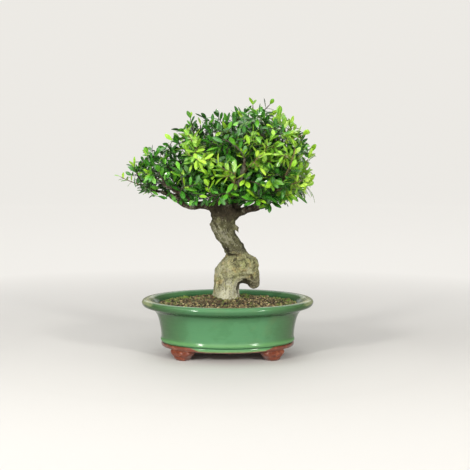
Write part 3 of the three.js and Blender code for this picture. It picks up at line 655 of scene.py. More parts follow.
def weatheringAndShade(points):
    # how far each point of the skin moves out, and how light it is: lumps and a swirl on the bulb, ridges up
    # the trunk and down the foot, a lip that hangs over the bulb, and hollows in the hooked root
    # the lightness carries painted shade in the hollows, creases and pits, under the bark lip and at the
    # foot's edges
    x, y, z = points.T
    trunk = trunkShare(points)
    front = smoothStep(24, 12, y)
    bulb = smoothStep(147, 139, z)
    foot = smoothStep(112, 98, z)
    above = smoothStep(146, 151, z)
    angle = np.arctan2(y - 22, x + 3)
    ribs = ridged(xyz(np.cos(angle), np.sin(angle), 0) * 6.0 + xyz(0, 0, z * 0.03), 1.0, 33)
    leaning = xyz(x + 0.55 * np.clip(z, 140, 190), y, z * 0.22)  # runs with the trunk's lean above the bulb
    ridges = ridged(leaning, 2.9, 3)
    rough = ridged(leaning, 6.5, 13)
    fine = layeredNoise(points, 1.9, 2, 14)
    lumps = layeredNoise(points, 12.0, 3, 8)
    warped = points + 4 * xyz(lumps, np.roll(lumps, 1), -lumps)
    swirl = 1 - 2 * np.abs(layeredNoise(warped, 7.5, 2, 21))
    broken = smoothStep(-0.25, 0.35, layeredNoise(points, 9.0, 2, 47))
    crease = smoothStep(0.62, 0.96, swirl) * broken * bulb * (1 - foot) * trunk
    onTrunk = 0.42 * ridges + 0.38 * rough + 0.35 * lumps
    onBulb = 0.85 * lumps + 0.3 * swirl
    onFoot = 1.0 * ribs + 0.3 * lumps
    move = trunk * (mix(onTrunk, mix(onBulb, onFoot, foot), bulb) + 0.24 * fine) \
        + (1 - trunk) * (0.30 * ridges + 1.3 * layeredNoise(points, 10.0, 2, 5))
    knuckles = 1.6 * layeredNoise(points, 7.5, 2, 27) * smoothStep(148, 160, z)
    move = move + (knuckles - 0.7 * crease) * trunk

    around = np.arctan2(y - 18.8, x - 13.5)  # about the neck; the front is -pi/2 and the left is pi
    leftOfFront = np.where(around > 2.2, around - 2 * np.pi, around)
    seam = smoothStep(-0.6, -1.5, leftOfFront) * smoothStep(-4.2, -3.6, leftOfFront) * trunk
    ragged = layeredNoise(points, 5.5, 3, 91)
    level = z - 144.0 - 1.0 * np.sin(leftOfFront * 3.1) - 1.6 * ragged
    overhang = (1.9 * bell(level, 2.2, 2.0) - 1.8 * bell(level, -1.0, 1.3)) * seam * (0.75 + 0.5 * ragged)
    knob = swellings(x, z, leftKnobs) + swellings(x, z, frontKnobs) * front
    shaken = points + 2.2 * xyz(*(layeredNoise(points, 4.5, 2, seed) for seed in (51, 52, 53)))
    pits = swellings(shaken[:, 0], shaken[:, 2], pitPlaces) * front
    holes = smoothStep(0.38, 0.75, latticeNoise(shaken, 4.2, 77)) * bulb * smoothStep(-4, 24, x) * (1 - foot)
    knobs = ridged(shaken, 3.4, 41)
    move = move + (overhang + knob + 0.36 * knobs * bulb - pits - 0.9 * holes) * trunk

    # sunk places (hollows, pits, holes, creases) darker and raised bark paler: partly the bark's own colour,
    # partly painted shade in the hollows
    tone = (move - (overhang + 0.8 * knuckles + knob) * trunk) / 2.2 \
        + 0.2 * knobs - 0.14 * pits - 0.12 * holes - 0.6 * crease
    tone = tone + 0.3 * lumps * bulb + (0.35 * ridges + 0.3 * fine) * (1 - bulb)
    # painted shadow: a dark line under the bark lip that hangs over the bulb; the band over the lip is darker
    # too
    tone = tone - 1.1 * bell(level, -0.7, 1.7) * seam * smoothStep(-0.7, 0.0, ragged) \
        - 0.35 * bell(level, 4, 5) * seam
    middle, _, half, _ = trunkAt(z)
    side = (x - middle) / half
    # stains mixed with painted shade: a pale streak on the front, the upper trunk darker on its right, at the
    # neck and towards the fork;
    stainAndShade = 0.40 * bell(side, -0.2, 0.5) * bell(z, 172, 11) * front \
        - 0.35 * above * smoothStep(0.2, 0.8, side + 0.2 * lumps) \
        - 0.30 * bell(z, 153, 6) - 0.10 * above - 1.2 * smoothStep(182, 202, z)
    # the bulb paler at left and right and darker near its top; the foot's ribs paler, and painted shade at
    # its right edge and a little at its left
    stainAndShade = stainAndShade + bulb * (1 - foot) * (0.4 * smoothStep(-0.1, -0.8, side)
                                         + 0.12 * smoothStep(0.1, 0.7, side) - 0.22 * bell(z, 137, 7))
    stainAndShade = stainAndShade + 0.3 * foot * ribs \
        - foot * (0.9 * smoothStep(0.5, 0.95, side) + 0.3 * smoothStep(-0.6, -1.0, side))
    return move, tone + stainAndShade * trunk


def barkMarks(place, facing, tone):
    # for each point: its height from foot to fork, how light it is (the bark's tone with painted shade), on a
    # limb, on the hooked root
    x, _, z = place.T
    # painted shade: the faces under the arch between foot and hook that look down are darkened
    arch = bell(z, 104 - 0.5 * np.abs(x - 21.5), 3.4) * smoothStep(12, 15, x)  # between foot and hook
    tone = tone - 1.5 * arch * smoothStep(-0.25, 0.3, -facing[:, 2]) * smoothStep(33, 29, x)
    toLeft = smoothStep(2, -18, x) * smoothStep(122, 100, z)  # the foot's left side is mottled like the bulb
    rise = np.clip((z - 74 + 22 * toLeft) / 140, 0, 1)
    hook = 0.7 * smoothStep(20, 30, x) * smoothStep(117, 105, z + 8 * layeredNoise(place, 7.0, 2, 15))
    return np.stack([rise, np.clip(0.5 + 0.5 * tone, 0, 1), 1 - trunkShare(place), hook], -1)


def buildTrunk():
    # the trunk's rings and tubes along the hook, the arch, the flakes and the limbs, melted into one skin
    # by a remesh; then each point moves along its normal
    tubes = [(hookRoute, wood["hookSteps"], wood["hookSides"])] \
        + [(route, 6, wood["limbSides"]) for route in [archRoute, *flakeRoutes]] \
        + [(route, wood["limbSteps"], wood["limbSides"]) for route in limbs.values()]
    parts = [closedGrid(tubeRings(smoothRoute(route, steps), sides)) for route, steps, sides in tubes]
    points, faces = joined([closedGrid(trunkRings()), *parts])
    piece = makePiece("bark_trunk", points, faces, [barkMaterial()], "bark")
    skin = piece.modifiers.new("skin", "REMESH")
    skin.mode, skin.voxel_size = "VOXEL", wood["voxel"] * mm
    settle = piece.modifiers.new("settle", "SMOOTH")
    settle.factor, settle.iterations = 0.5, wood["smoothing"]
    bakeModifiers(piece)
    mesh = piece.data
    place, facing = np.empty((2, len(mesh.vertices) * 3), np.float32)
    mesh.vertices.foreach_get("co", place)
    mesh.vertex_normals.foreach_get("vector", facing)
    facing = facing.reshape(-1, 3)
    place = place.reshape(-1, 3) / mm - potMiddle
    move, tone = weatheringAndShade(place)
    place = place + facing * move[:, None]
    mesh.vertices.foreach_set("co", ((place + potMiddle) * mm).astype(np.float32).ravel())
    mesh.polygons.foreach_set("use_smooth", np.ones(len(mesh.polygons), bool))
    addMarks(mesh, "bark", barkMarks(place, facing, tone))
    mesh.update()
    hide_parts("trunk")
    print("trunk done,", len(mesh.polygons), "faces")


buildTrunk()


leaf = {"length": 20.0, "width": 8.2, "curl": 0.22}
shoot = {"baseRadius": 1.25, "tipRadius": 0.75, "leafStart": 0.34, "leafEnd": 0.985, "pairStep": 9.0,
         "lean": 0.95, "tipLean": 0.42, "tipSize": 0.86, "tries": 7}
crown = {"tips": 51, "draws": 16, "lobeEnds": (0.44, 0.76, 1), "lowest": -0.42, "buried": 0.94,
         "size": (0.86, 1.16), "reachLow": 22.0, "reachHigh": 62.0, "reachIdeal": 40.0,
         "limbStart": 0.34, "forwards": 16}
clear = {"stem": 4.2, "otherStem": 2.2, "otherShoot": 3.5, "sameShoot": 2.3, "limb": 1.4}
# the crown's lobes: centre x, y, z and half sizes; a tip's draw picks the lobe by crown["lobeEnds"]
lobes = np.array([(43, 12, 264, 78, 84, 87), (-28, 10, 260, 66, 76, 74), (-94, 6, 254, 43, 52, 40)], float)
# limb, share of its length, tip and size of the shoots that stand out of the crown and fill its middle
setShoots = [
    ("left", 1, (-152, 1, 256), 0.62), ("rightLow", 1, (113, 3, 252), 0.7), ("leader", 1, (60, 4, 358), 0.8),
    ("leader", 0.86, (36, 18, 357), 0.8), ("centreLeft", 1, (-52, -4, 338), 0.85),
    ("rightLow", 0.62, (60, -10, 218), 1.1), ("left", 0.72, (-108, -4, 236), 0.9),
    ("backLeft", 0.67, (-13, 14, 292), 0.95), ("centreLeft", 0.3, (20, -10, 265), 0.95),
    ("back", 0.62, (49, 37, 277), 0.95), ("rightUp", 0.9, (46, -33, 315), 0.95),
    ("leftFront", 0.33, (-67, -6, 275), 0.95),
]
# where new growth has flushed: x, y, z, radius
flushes = [
    (-152, 1, 256, 20), (113, 3, 252, 18), (-45, -55, 292, 16), (-55, -30, 316, 16), (10, -64, 268, 16),
    (48, -68, 290, 16), (106, 6, 314, 16), (68, 51, 336, 16), (94, -43, 298, 16), (105, -37, 253, 16),
    (-62, 75, 264, 16), (93, 77, 266, 16), (2, 78, 293, 16),
]


def crownTips():
    # places on the skins of the lobes, each an ellipsoid: of each handful of draws, the one that lies
    # furthest from the tips before it
    roll = dice(5)
    shoots = [{"limb": limb, "at": at, "tip": np.array(tip, float), "size": size}
              for limb, at, tip, size in setShoots]
    while len(shoots) < crown["tips"]:
        best, room = None, -1
        for _ in range(crown["draws"]):
            which = np.searchsorted(crown["lobeEnds"], roll(), side="right")
            height = mix(crown["lowest"], 1, roll())
            around = 2 * math.pi * roll()
            flat = math.sqrt(1 - height * height)
            heading = (flat * math.cos(around), flat * math.sin(around), height)
            tip = lobes[which, :3] + lobes[which, 3:] * heading
            deep = np.linalg.norm((tip - lobes[:, :3]) / lobes[:, 3:], axis=1)
            if (np.delete(deep, which) < crown["buried"]).any():
                continue
            space = min(np.linalg.norm(one["tip"] - tip) for one in shoots)
            if space > room:
                best, room = tip, space
        size = mix(*crown["size"], roll())
        if best is not None:
            shoots.append({"tip": best, "size": size})
    for one in shoots:
        one["young"] = any(math.dist(one["tip"], flush[:3]) < flush[3] for flush in flushes)
    return shoots


def stemRoute(start, heading, tip, size):
    # five points of a quadratic curve that leaves its limb forwards and bends to the tip
    reach = np.linalg.norm(tip - start)
    knee = start + heading * reach * 0.3 + (tip - start) * 0.28 - np.array([0, 0, 0.05 * reach])
    t = np.linspace(0, 1, 5)[:, None]
    radius = mix(shoot["baseRadius"], shoot["tipRadius"], t) * min(size, 1.1)
    return np.hstack([start * (1 - t) ** 2 + 2 * knee * t * (1 - t) + tip * t * t, radius])


def waysToLimb(one):
    # the places on the limbs that a shoot can grow from, the best first
    ways = []
    for name, route in limbRoutes.items():
        if one.get("limb", name) != name:
            continue
        for i, p in enumerate(route):
            share = i / (len(route) - 1)
            if abs(share - one.get("at", share)) > 0.5 / (len(route) - 1):
                continue
            if "limb" not in one and share < crown["limbStart"]:
                continue
            reach = np.linalg.norm(one["tip"] - p[:3])
            if "limb" not in one and not crown["reachLow"] <= reach <= crown["reachHigh"]:
                continue
            heading = unit(route[min(i + 1, len(route) - 1), :3] - route[max(i - 1, 0), :3])
            forwards = heading.dot(one["tip"] - p[:3]) / reach
            ways.append((abs(reach - crown["reachIdeal"]) - crown["forwards"] * forwards, p[:3], heading))
    return sorted(ways, key=lambda way: way[0])


def betweenPoints(route, parts):
    # the route with this many even steps between its points
    t = (np.arange(parts) / parts)[None, :, None]
    return np.vstack([mix(route[:-1, None], route[1:, None], t).reshape(-1, route.shape[1]), route[-1:]])


def nearest(a, b):
    # how far each point of one set lies from each of the other
    return np.linalg.norm(a[:, None, :3] - b[None, :, :3], axis=-1)


def growStems(shoots):
    # each shoot takes the best way that stays clear of the limbs and of the stems before it
    woodLine = np.vstack([betweenPoints(route, 2) for route in limbRoutes.values()])
    grown = []
    for one in shoots:
        for _, start, heading in waysToLimb(one):
            route = stemRoute(start, heading, one["tip"], one["size"])
            line = betweenPoints(route, 3)
            outer = line[5:]
            blocked = (nearest(outer, woodLine) < woodLine[None, :, 3] + outer[:, None, 3] + 1).any() \
                or any((nearest(line[2:], other["line"]) < clear["stem"]).any() for other in grown)
            if "limb" in one or not blocked:
                grown.append({**one, "route": route, "line": line})
                break
    return grown, woodLine


def alongStem(route, share):
    # the place and the heading at this share of a five-point stem
    spot = 4 * share
    low = min(int(spot), 3)
    return mix(route[low, :3], route[low + 1, :3], spot - low), unit(route[low + 1, :3] - route[low, :3])


def bladePoint(blade, t, across):
    # a place on a blade: t along it, across from its rib, and bent down by the square of t
    rise = -leaf["curl"] * blade["length"] * t * t * blade["bend"]
    return blade["base"] + blade["along"] * blade["length"] * t * (1 - 0.06 * t) \
        + blade["side"] * blade["width"] * across + blade["face"] * rise


def bladeSamples(blade):
    # ten points over the blade, to test its room with
    return np.array([bladePoint(blade, t, edge * 0.46) for t in (0.28, 0.52, 0.76, 1)
                     for edge in ((0,) if t == 1 else (-1, 0, 1))])


def makeBlade(base, heading, turn, lean, size, bend):
    # leaves the stem at a lean from its heading, turned about it, with its face to the light
    reference = np.array([0.0, 0, 1] if abs(heading[2]) < 0.92 else [1.0, 0, 0])
    right = unit(np.cross(heading, reference))
    over = np.cross(right, heading)
    out = right * math.cos(turn) + over * math.sin(turn)
    along = unit(heading * math.cos(lean) + out * math.sin(lean) + np.array([0, 0, 0.12]))
    light = unit(np.array([base[0] * 0.004, (base[1] - 10) * 0.005, 1]))
    facing = light + 0.55 * heading - 0.25 * out
    face = unit(facing - along * facing.dot(along))
    return {"base": base, "along": along, "side": np.cross(along, face), "face": face, "bend": bend,
            "length": leaf["length"] * size, "width": leaf["width"] * math.sqrt(size)}


def growBlades(grown, woodLine):
    # opposite pairs up each stem, each pair a quarter turn from the last, and a pair at its tip
    placed = np.full((1, 3), 1e6)
    for number, one in enumerate(grown):
        roll = dice(100 + number)
        one["blades"], mine = [], np.full((1, 3), 1e6)
        others = np.vstack([other["line"] for other in grown if other is not one])
        startTurn = math.pi * roll()
        route = one["route"]
        reach = np.linalg.norm(route[0, :3] - route[4, :3])
        pairs = max(3, math.floor(reach * (1 - shoot["leafStart"]) / shoot["pairStep"] + 0.5))
        for pair, twin in np.ndindex(pairs + 1, 2):
            share = mix(shoot["leafStart"], shoot["leafEnd"], pair / pairs)
            base, heading = alongStem(route, share)
            for tries in range(shoot["tries"]):
                turn = startTurn + pair * math.pi / 2 + twin * math.pi \
                    + 0.9 * (roll() - 0.5) * (1 + 0.4 * tries)
                lean = shoot["tipLean" if pair == pairs else "lean"] + 0.4 * (roll() - 0.5) + 0.06 * tries
                size = one["size"] * mix(0.78, 1.12, roll()) * (shoot["tipSize"] if pair == pairs else 1)
                blade = makeBlade(base, heading, turn, lean, size, mix(-0.3, 1.3, roll()))
                samples = bladeSamples(blade)
                if not ((nearest(samples, placed) < clear["otherShoot"]).any()
                        or (nearest(samples, mine) < clear["sameShoot"]).any()
                        or (nearest(samples, others) < others[None, :, 3] + clear["otherStem"]).any()
                        or (nearest(samples, woodLine) < woodLine[None, :, 3] + clear["limb"]).any()):
                    # nearer the shoot's foot, older and with more painted shade
                    one["blades"].append({**blade, "ageAndShade": 1 - share})
                    mine = np.vstack([mine, samples])
                    break
        placed = np.vstack([placed, mine[1:]])
    return placed[1:]


grown, woodLine = growStems(crownTips())
takenPoints = growBlades(grown, woodLine)
print("crown laid out:", len(grown), "shoots,", sum(len(one["blades"]) for one in grown), "main leaves")

fill = {
    "cell": 1.5, "room": 1.1,  # a new leaf keeps this many cells clear of the others
    "tries": 2500, "within": 0.96, "lowest": 216.0, "leftRise": 15.0,
    "shortest": 6.0, "longest": 30.0, "slim": 0.82, "size": (0.72, 1.0), "fewest": 3, "manyFrom": 17,
    "thin": 0.6, "lean": 0.9, "tipLean": 0.45, "leafTries": 5,
    "lobes": [*lobes, np.array([-10, 8, 296, 40, 46, 48])],
    "shares": (0.51, 0.35, 0.08, 0.06),
    # open places round the limbs, where light comes through: x, y, z, radius
    "openings": [(3, -8, 223, 8), (24, -6, 219, 11), (36, -10, 217, 9), (-58, -4, 221, 12),
                 (-44, -6, 218, 11), (-30, -6, 215, 10), (-80, -6, 232, 7), (-100, -4, 240, 6),
                 (-10, -10, 215, 9), (12, -12, 213, 8)],
}


class Taken:  # which cells of the crown's space already hold leaf or wood
    def __init__(self):
        self.low = cadLow - 4
        shape = np.ceil((cadHigh + 4 - self.low) / fill["cell"]).astype(int)
        self.cells = np.zeros(shape, bool)
        span = np.arange(-2, 3)
        near = np.stack(np.meshgrid(span, span, span, indexing="ij"), -1).reshape(-1, 3)
        self.near = near[np.linalg.norm(near, axis=1) <= fill["room"]]

    def index(self, points):
        cell = ((points - self.low) / fill["cell"]).astype(int)
        return np.clip(cell, 2, np.array(self.cells.shape) - 3)

    def add(self, points):
        cell = (self.index(points)[:, None] + self.near[None]).reshape(-1, 3)
        self.cells[tuple(cell.T)] = True

    def hits(self, points):
        return self.cells[tuple(self.index(points).T)].any()


def addLeaf(taken, blades, blade, ageAndShade):
    # keeps the blade if it finds room
    blade["width"] *= fill["slim"]
    samples = bladeSamples(blade)
    # the underside of the left limb stays open
    lowest = fill["lowest"] + fill["leftRise"] * smoothStep(-50, -115, samples[:, 0])
    outside = (samples < cadLow + 1).any() or (samples > cadHigh - 1).any() or (samples[:, 2] < lowest).any()
    opened = any(np.linalg.norm(samples - gap[:3], axis=1).min() < gap[3] for gap in fill["openings"])
    if outside or opened or taken.hits(samples):
        return False
    blades.append(({**blade, "ageAndShade": ageAndShade}, samples))
    return True


def addTwig(taken, roll, start, heading, length, size, pairs, ageAndShade):
    # a short side shoot with its own opposite pairs and a pair at its tip
    tip = start + heading * length + np.array([0, 0, 0.12 * length])
    route = stemRoute(start, heading, tip, size)
    route[:, 3] *= fill["thin"]
    if (route[:, :3] < cadLow + 2).any() or (route[:, :3] > cadHigh - 2).any():
        return None
    blades = []
    startTurn = math.pi * roll()
    for pair, twin in np.ndindex(pairs + 1, 2):
        base, along = alongStem(route, mix(0.3, 0.98, pair / pairs))
        for _ in range(fill["leafTries"]):
            turn = startTurn + pair * math.pi / 2 + twin * math.pi + 1.1 * (roll() - 0.5)
            lean = fill["tipLean" if pair == pairs else "lean"] + 0.6 * (roll() - 0.5)
            blade = makeBlade(base, along, turn, lean, size * mix(0.66, 1.12, roll()), mix(-0.4, 1.6, roll()))
            if addLeaf(taken, blades, blade, ageAndShade):
                break
    if len(blades) < fill["fewest"]:
        return None
    taken.add(np.vstack([samples for _, samples in blades]))
    return route, [blade for blade, _ in blades]


def headingsOf(line):
    return unit(np.gradient(line[:, :3], axis=0))


def fillCrown(taken):
    # grows short twigs, from the nearest stem or limb, towards places in the crown that are still empty
    roll = dice(77)
    draw = np.random.default_rng(4)
    owned = {name: route[len(route) // 4:] for name, route in limbRoutes.items()}
    owned.update((number, one["route"][1:]) for number, one in enumerate(grown))
    lines = {owner: betweenPoints(line, 2) for owner, line in owned.items()}
    anchors = np.vstack([line[:, :3] for line in lines.values()])
    headings = np.vstack([headingsOf(line) for line in lines.values()])
    owners = [owner for owner, line in lines.items() for _ in line]
    twigs = {owner: [] for owner in owned}
    for _ in range(fill["tries"]):
        which = int(draw.choice(4, p=fill["shares"]))
        lobe = fill["lobes"][which]
        spot = unit(draw.normal(size=3)) * draw.random() ** 0.42 * fill["within"]
        goal = lobe[:3] + lobe[3:] * spot
        if spot[2] < -0.62 or goal[2] < fill["lowest"] + 4 or taken.hits(goal[None]):
            continue
        away = np.linalg.norm(anchors - goal, axis=1)
        near = int(np.argmin(away))
        length = away[near]
        if not fill["shortest"] < length < fill["longest"]:
            continue
        heading = unit((goal - anchors[near]) / length + 0.35 * headings[near])
        deep = np.linalg.norm(spot)
        # deeper in the crown, older leaves with more painted shade; a fifth of the outer ones are fresh tips
        ageAndShade = 0.0 if roll() < 0.2 and spot.dot(spot) > 0.5 else float(np.clip(1.25 - deep, 0.2, 1))
        ageAndShade *= 0.7 if which == 2 else 1  # the light reaches further into the small left lobe
        # leaves grow larger low on the right and smaller at the left
        size = mix(*fill["size"], roll()) \
            * (1 + 0.28 * smoothStep(-30, 50, goal[0]) * smoothStep(290, 235, goal[2])) \
            * (1 - 0.12 * smoothStep(-50, -90, goal[0]))
        pairs = 2 + int(length > fill["manyFrom"])
        twig = addTwig(taken, roll, anchors[near], heading, length, size, pairs, ageAndShade)
        if twig:
            route = twig[0]
            twigs[owners[near]].append(twig)
            anchors = np.vstack([anchors, route[1:, :3]])
            headings = np.vstack([headings, headingsOf(route)[1:]])
            owners += [owners[near]] * 4
    return twigs


taken = Taken()
taken.add(takenPoints)
twigs = fillCrown(taken)
sideLeaves = {owner: [blade for _, blades in group for blade in blades] for owner, group in twigs.items()}
print("crown filled:", sum(map(len, sideLeaves.values())), "leaves on side twigs")

leafShape = {"stations": 7, "stalk": 0.07, "rib": 0.26, "fold": 0.24, "wave": 0.05,
             "mainLength": 0.96, "mainWidth": 0.84}


def leafMeshes(blades, tones):
    # every leaf at once: stations along the rib, each a ring of two edges, three points above and one beneath
    base, along, side, face = (np.array([blade[key] for blade in blades])
                               for key in ("base", "along", "side", "face"))
    length, width, bend, ageAndShade = (np.array([blade[key] for blade in blades])[:, None, None]
                                for key in ("length", "width", "bend", "ageAndShade"))
    tone = np.array(tones)[:, None, None]
    stalk = leafShape["stalk"]
    t = np.concatenate([[0.0, stalk], np.linspace(0.2, 0.93, leafShape["stations"] - 2)])[None, :, None]
    ring = np.array([-1, -0.5, 0, 0.5, 1, 0])[None, None, :]
    under = np.array([0, 0, 0, 0, 0, 1])[None, None, :]
    body = np.clip((t - stalk) / (1 - stalk), 0, 1)
    breadth = np.maximum(0.5 * np.sin(np.pi * body**1.2) ** 0.66, 0.04)  # widest past the middle, blunt
    across = ring * breadth
    edge = np.abs(across)
    lift = leafShape["fold"] * edge * (1.3 - 0.8 * tone) - 0.2 * across**2 \
        + leafShape["wave"] * np.sin(tone * 37 + 13 * t + 2 * ring) * edge
    thick = leafShape["rib"] * np.where(under > 0, -0.7, 0.35) * (1 - np.abs(ring)) * (1 - 0.5 * t)
    rise = -leaf["curl"] * length * t * t * bend + lift * width + thick
    reach, out = length * t * (1 - 0.06 * t), width * across
    place = base[:, None, None] + along[:, None, None] * reach[..., None] \
        + side[:, None, None] * out[..., None] + face[:, None, None] * rise[..., None]
    count, stations, columns = place.shape[:3]
    tip = base + along * (0.94 * length[:, 0]) - face * (leaf["curl"] * length[:, 0] * bend[:, 0])
    points = np.concatenate([place.reshape(count, -1, 3), base[:, None], tip[:, None]], 1)
    per = points.shape[1]
    first = np.arange(columns)
    ends = np.vstack([fanFaces(first, per - 2, True), fanFaces(first + (stations - 1) * columns, per - 1)])
    # marks: across, along, the leaf's own tone, age with painted shade
    marks = np.zeros((count, per, 4))
    grid = np.broadcast_arrays(0.5 + 0.5 * ring, t)
    marks[:, :-2, :2] = np.stack(grid, -1).reshape(1, -1, 2)
    marks[:, -2:, :2] = (0.5, 0), (0.5, 1)
    marks[..., 2:] = np.concatenate([tone, ageAndShade], -1)
    sides = repeated(gridFaces(stations, columns), count, per)
    return points.reshape(-1, 3), sides, repeated(ends, count, per), marks.reshape(-1, 4)


foliage = {
    "mature": {"dark": (0.005, 0.032, 0.006), "green": (0.040, 0.205, 0.016), "light": (0.135, 0.40, 0.020),
               "vein": (0.13, 0.34, 0.04), "rough": 0.26},
    "young": {"dark": (0.075, 0.26, 0.012), "green": (0.215, 0.44, 0.018), "light": (0.36, 0.55, 0.045),
              "vein": (0.62, 0.70, 0.18), "rough": 0.32},
    "tip": (0.25, 0.47, 0.022), "stem": (0.046, 0.028, 0.017), "stemYoung": (0.16, 0.11, 0.04),
}


def leafMaterial(name, look):
    material, shader, where = newMaterial(name, Coat_Weight=0.34, Coat_Roughness=0.16)
    # the last mark is age and painted shade: leaves deep in the crown painted darker, outer tips lighter,
    # partly young growth and partly painted light
    across, along, tone, ageAndShade = markOf(where, "leaf")  # age: nought at a shoot's tip, one deep in the crown
    off = maths("ABSOLUTE", less(across, 0.5))
    rib = rangeOf(off, 0.02, 0.09, 1, 0)
    slant = less(along, times(off, 0.35))
    vein = rangeOf(maths("SINE", times(slant, 58)), 0.7, 1)
    shade = plus(times(maths("POWER", tone, 1.3), 0.95), rangeOf(ageAndShade, 0, 0.9, 0.34, -0.42))
    shade = plus(shade, rangeOf(noiseAt(where, 240, 2), 0.3, 0.7, -0.12, 0.12))
    colour = strew(look["dark"], look["green"], shade, 0, 0.75)
    colour = strew(colour, look["light"], shade, 0.62, 1.1)
    fresh = times(rangeOf(ageAndShade, 0.17, 0.03), rangeOf(tone, 0.15, 0.6))
    colour = blend(fresh, colour, foliage["tip"])
    colour = blend(times(rib, 0.5), colour, look["vein"])
    colour = blend(times(vein, 0.14), colour, look["vein"])
    rough = rangeOf(noiseAt(where, 500, 2), 0.3, 0.7, look["rough"] - 0.08, look["rough"] + 0.1)
    relief = bumpOf(plus(rib, times(vein, 0.45)), 0.00025, 0.5)
    connect(shader, Base_Color=colour, Roughness=rough, Normal=relief)
    return material


def stemMaterial(name, colour):
    def paint(where):
        return mottled(where, colour, tuple(0.45 * channel for channel in colour), 300, 0.5, 0.6)
    return dullMaterial(name, 0.6, paint, (900,), 0.0003, 0.6)


# materials and slot of old and of new growth
matureLook = ([leafMaterial("matureLeaf", foliage["mature"]), stemMaterial("twigBark", foliage["stem"])],
              "mature_leaf")
youngLook = ([leafMaterial("youngLeaf", foliage["young"]), stemMaterial("youngTwig", foliage["stemYoung"])],
             "young_leaf")


def buildLeafy(name, stems, blades, roll, materials, slot):
    # stems as five-sided tubes that swell and narrow by a sine, and all their leaves, as one mesh
    lines = [smoothRoute(route, 2) for route in stems]
    for line in lines:
        line[:, 3] *= 1 + 0.12 * np.sin(np.arange(len(line)) * 2.1)
    stemPoints, stemFaces = joined([closedGrid(tubeRings(line, 5)) for line in lines])
    leafPoints, leafSides, leafEnds, leafMarks = leafMeshes(blades, [roll() for _ in blades])
    faces = [np.vstack(stemFaces[::2]), leafSides + len(stemPoints),
             np.vstack(stemFaces[1::2]), leafEnds + len(stemPoints)]
    marks = np.vstack([np.full((len(stemPoints), 4), 0.5), leafMarks])
    piece = makePiece(name, np.vstack([stemPoints, leafPoints]), faces, materials, slot, ("leaf", marks),
                      materialOf=np.repeat([1, 0, 1, 0], [len(group) for group in faces]).astype(np.int32))
    piece.data.set_sharp_from_angle(angle=math.radians(75))  # keeps each leaf's two faces apart at its edge
    return piece


for number, one in enumerate(grown):
    stems = [one["route"]] + [route for route, _ in twigs[number]]
    blades = [dict(blade, length=blade["length"] * leafShape["mainLength"],
                   width=blade["width"] * leafShape["mainWidth"]) for blade in one["blades"]]
    piece = buildLeafy(f"leafy_shoot_{number + 1:02d}", stems, blades + sideLeaves[number],
                       dice(300 + number), *(youngLook if one["young"] else matureLook))
    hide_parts(f"shoot_{number + 1:02d}")
for name in limbRoutes:
    if twigs[name]:
        stems = [route for route, _ in twigs[name]]
        buildLeafy(f"spurs_{name}", stems, sideLeaves[name], dice(55 + len(name)), *matureLook)
print("leaves done")


soil = {
    "sides": 160, "rings": 60, "edgeHalf": 100.6, "edgeZ": 74.0,
    "mound": 6.0, "reach": 40.0, "trunkAt": (-3.0, 22.0),
    # half widths of the hole's brink, and of the oval round the trunk that stays free of grains and moss
    "brink": (17.6, 15.8), "bare": (20, 18),
    # half length and height of the pot's inside, from its floor up
    "wall": [(80.4, 21.2), (86.4, 29), (88.8, 43), (92.8, 56), (98.9, 69.5)],
    # the trunk's hole: half widths and height, from the top down
    "hole": [(17.4, 15.6, 70), (15, 13.2, 61.5), (12, 11, 54), (0.4, 0.4, 54)],
    # soil heaped at the trunk's foot: x, y, size, height
    "heaps": [(-21, 1, 7.5, 5.0), (16, -5, 6.5, 6.0), (-3, -16, 9, 3.4)],
    "grains": 4200, "grainSize": (1.0, 2.8), "grainStretch": (0.7, 1.15), "grainSunk": (-0.25, 0.5),
    "dark": (0.014, 0.011, 0.006), "brown": (0.085, 0.062, 0.026), "tan": (0.270, 0.208, 0.088),
    "red": (0.135, 0.078, 0.036), "grey": (0.130, 0.125, 0.066), "cream": (0.465, 0.385, 0.205),
    "crumb": (0.050, 0.038, 0.016), "mossCrumb": (0.125, 0.175, 0.030),
    # where each sort of grain begins, by its draw between nought and one
    "grainSorts": [(0.0, "dark"), (0.22, "crumb"), (0.42, "brown"), (0.54, "red"), (0.66, "grey"),
                   (0.80, "tan"), (1.0, "cream")],
}
soilEdge = (soil["edgeHalf"], soil["edgeHalf"] - inset)


def fromTrunk(x, y, wide=1, deep=1):
    # how far each place lies from the trunk's middle, with an oval of these half widths at one
    return np.hypot((x - soil["trunkAt"][0]) / wide, (y - soil["trunkAt"][1]) / deep)


def soilHeight(x, y):
    # a mound that falls away from the trunk as a bell does, with heaps at its foot and a rough top
    far = fromTrunk(x, y)
    heaped = sum(high * bell(np.hypot(x - px, y - py), 0, size) for px, py, size, high in soil["heaps"])
    return soil["edgeZ"] + soil["mound"] * np.exp(-((far / soil["reach"]) ** 2)) \
        + 0.9 * layeredNoise(xyz(x, y, 0), 9.0, 3, 40) + heaped


def soilColour(where):
    return mottled(where, soil["dark"], soil["brown"], 300, 0.5, 1)


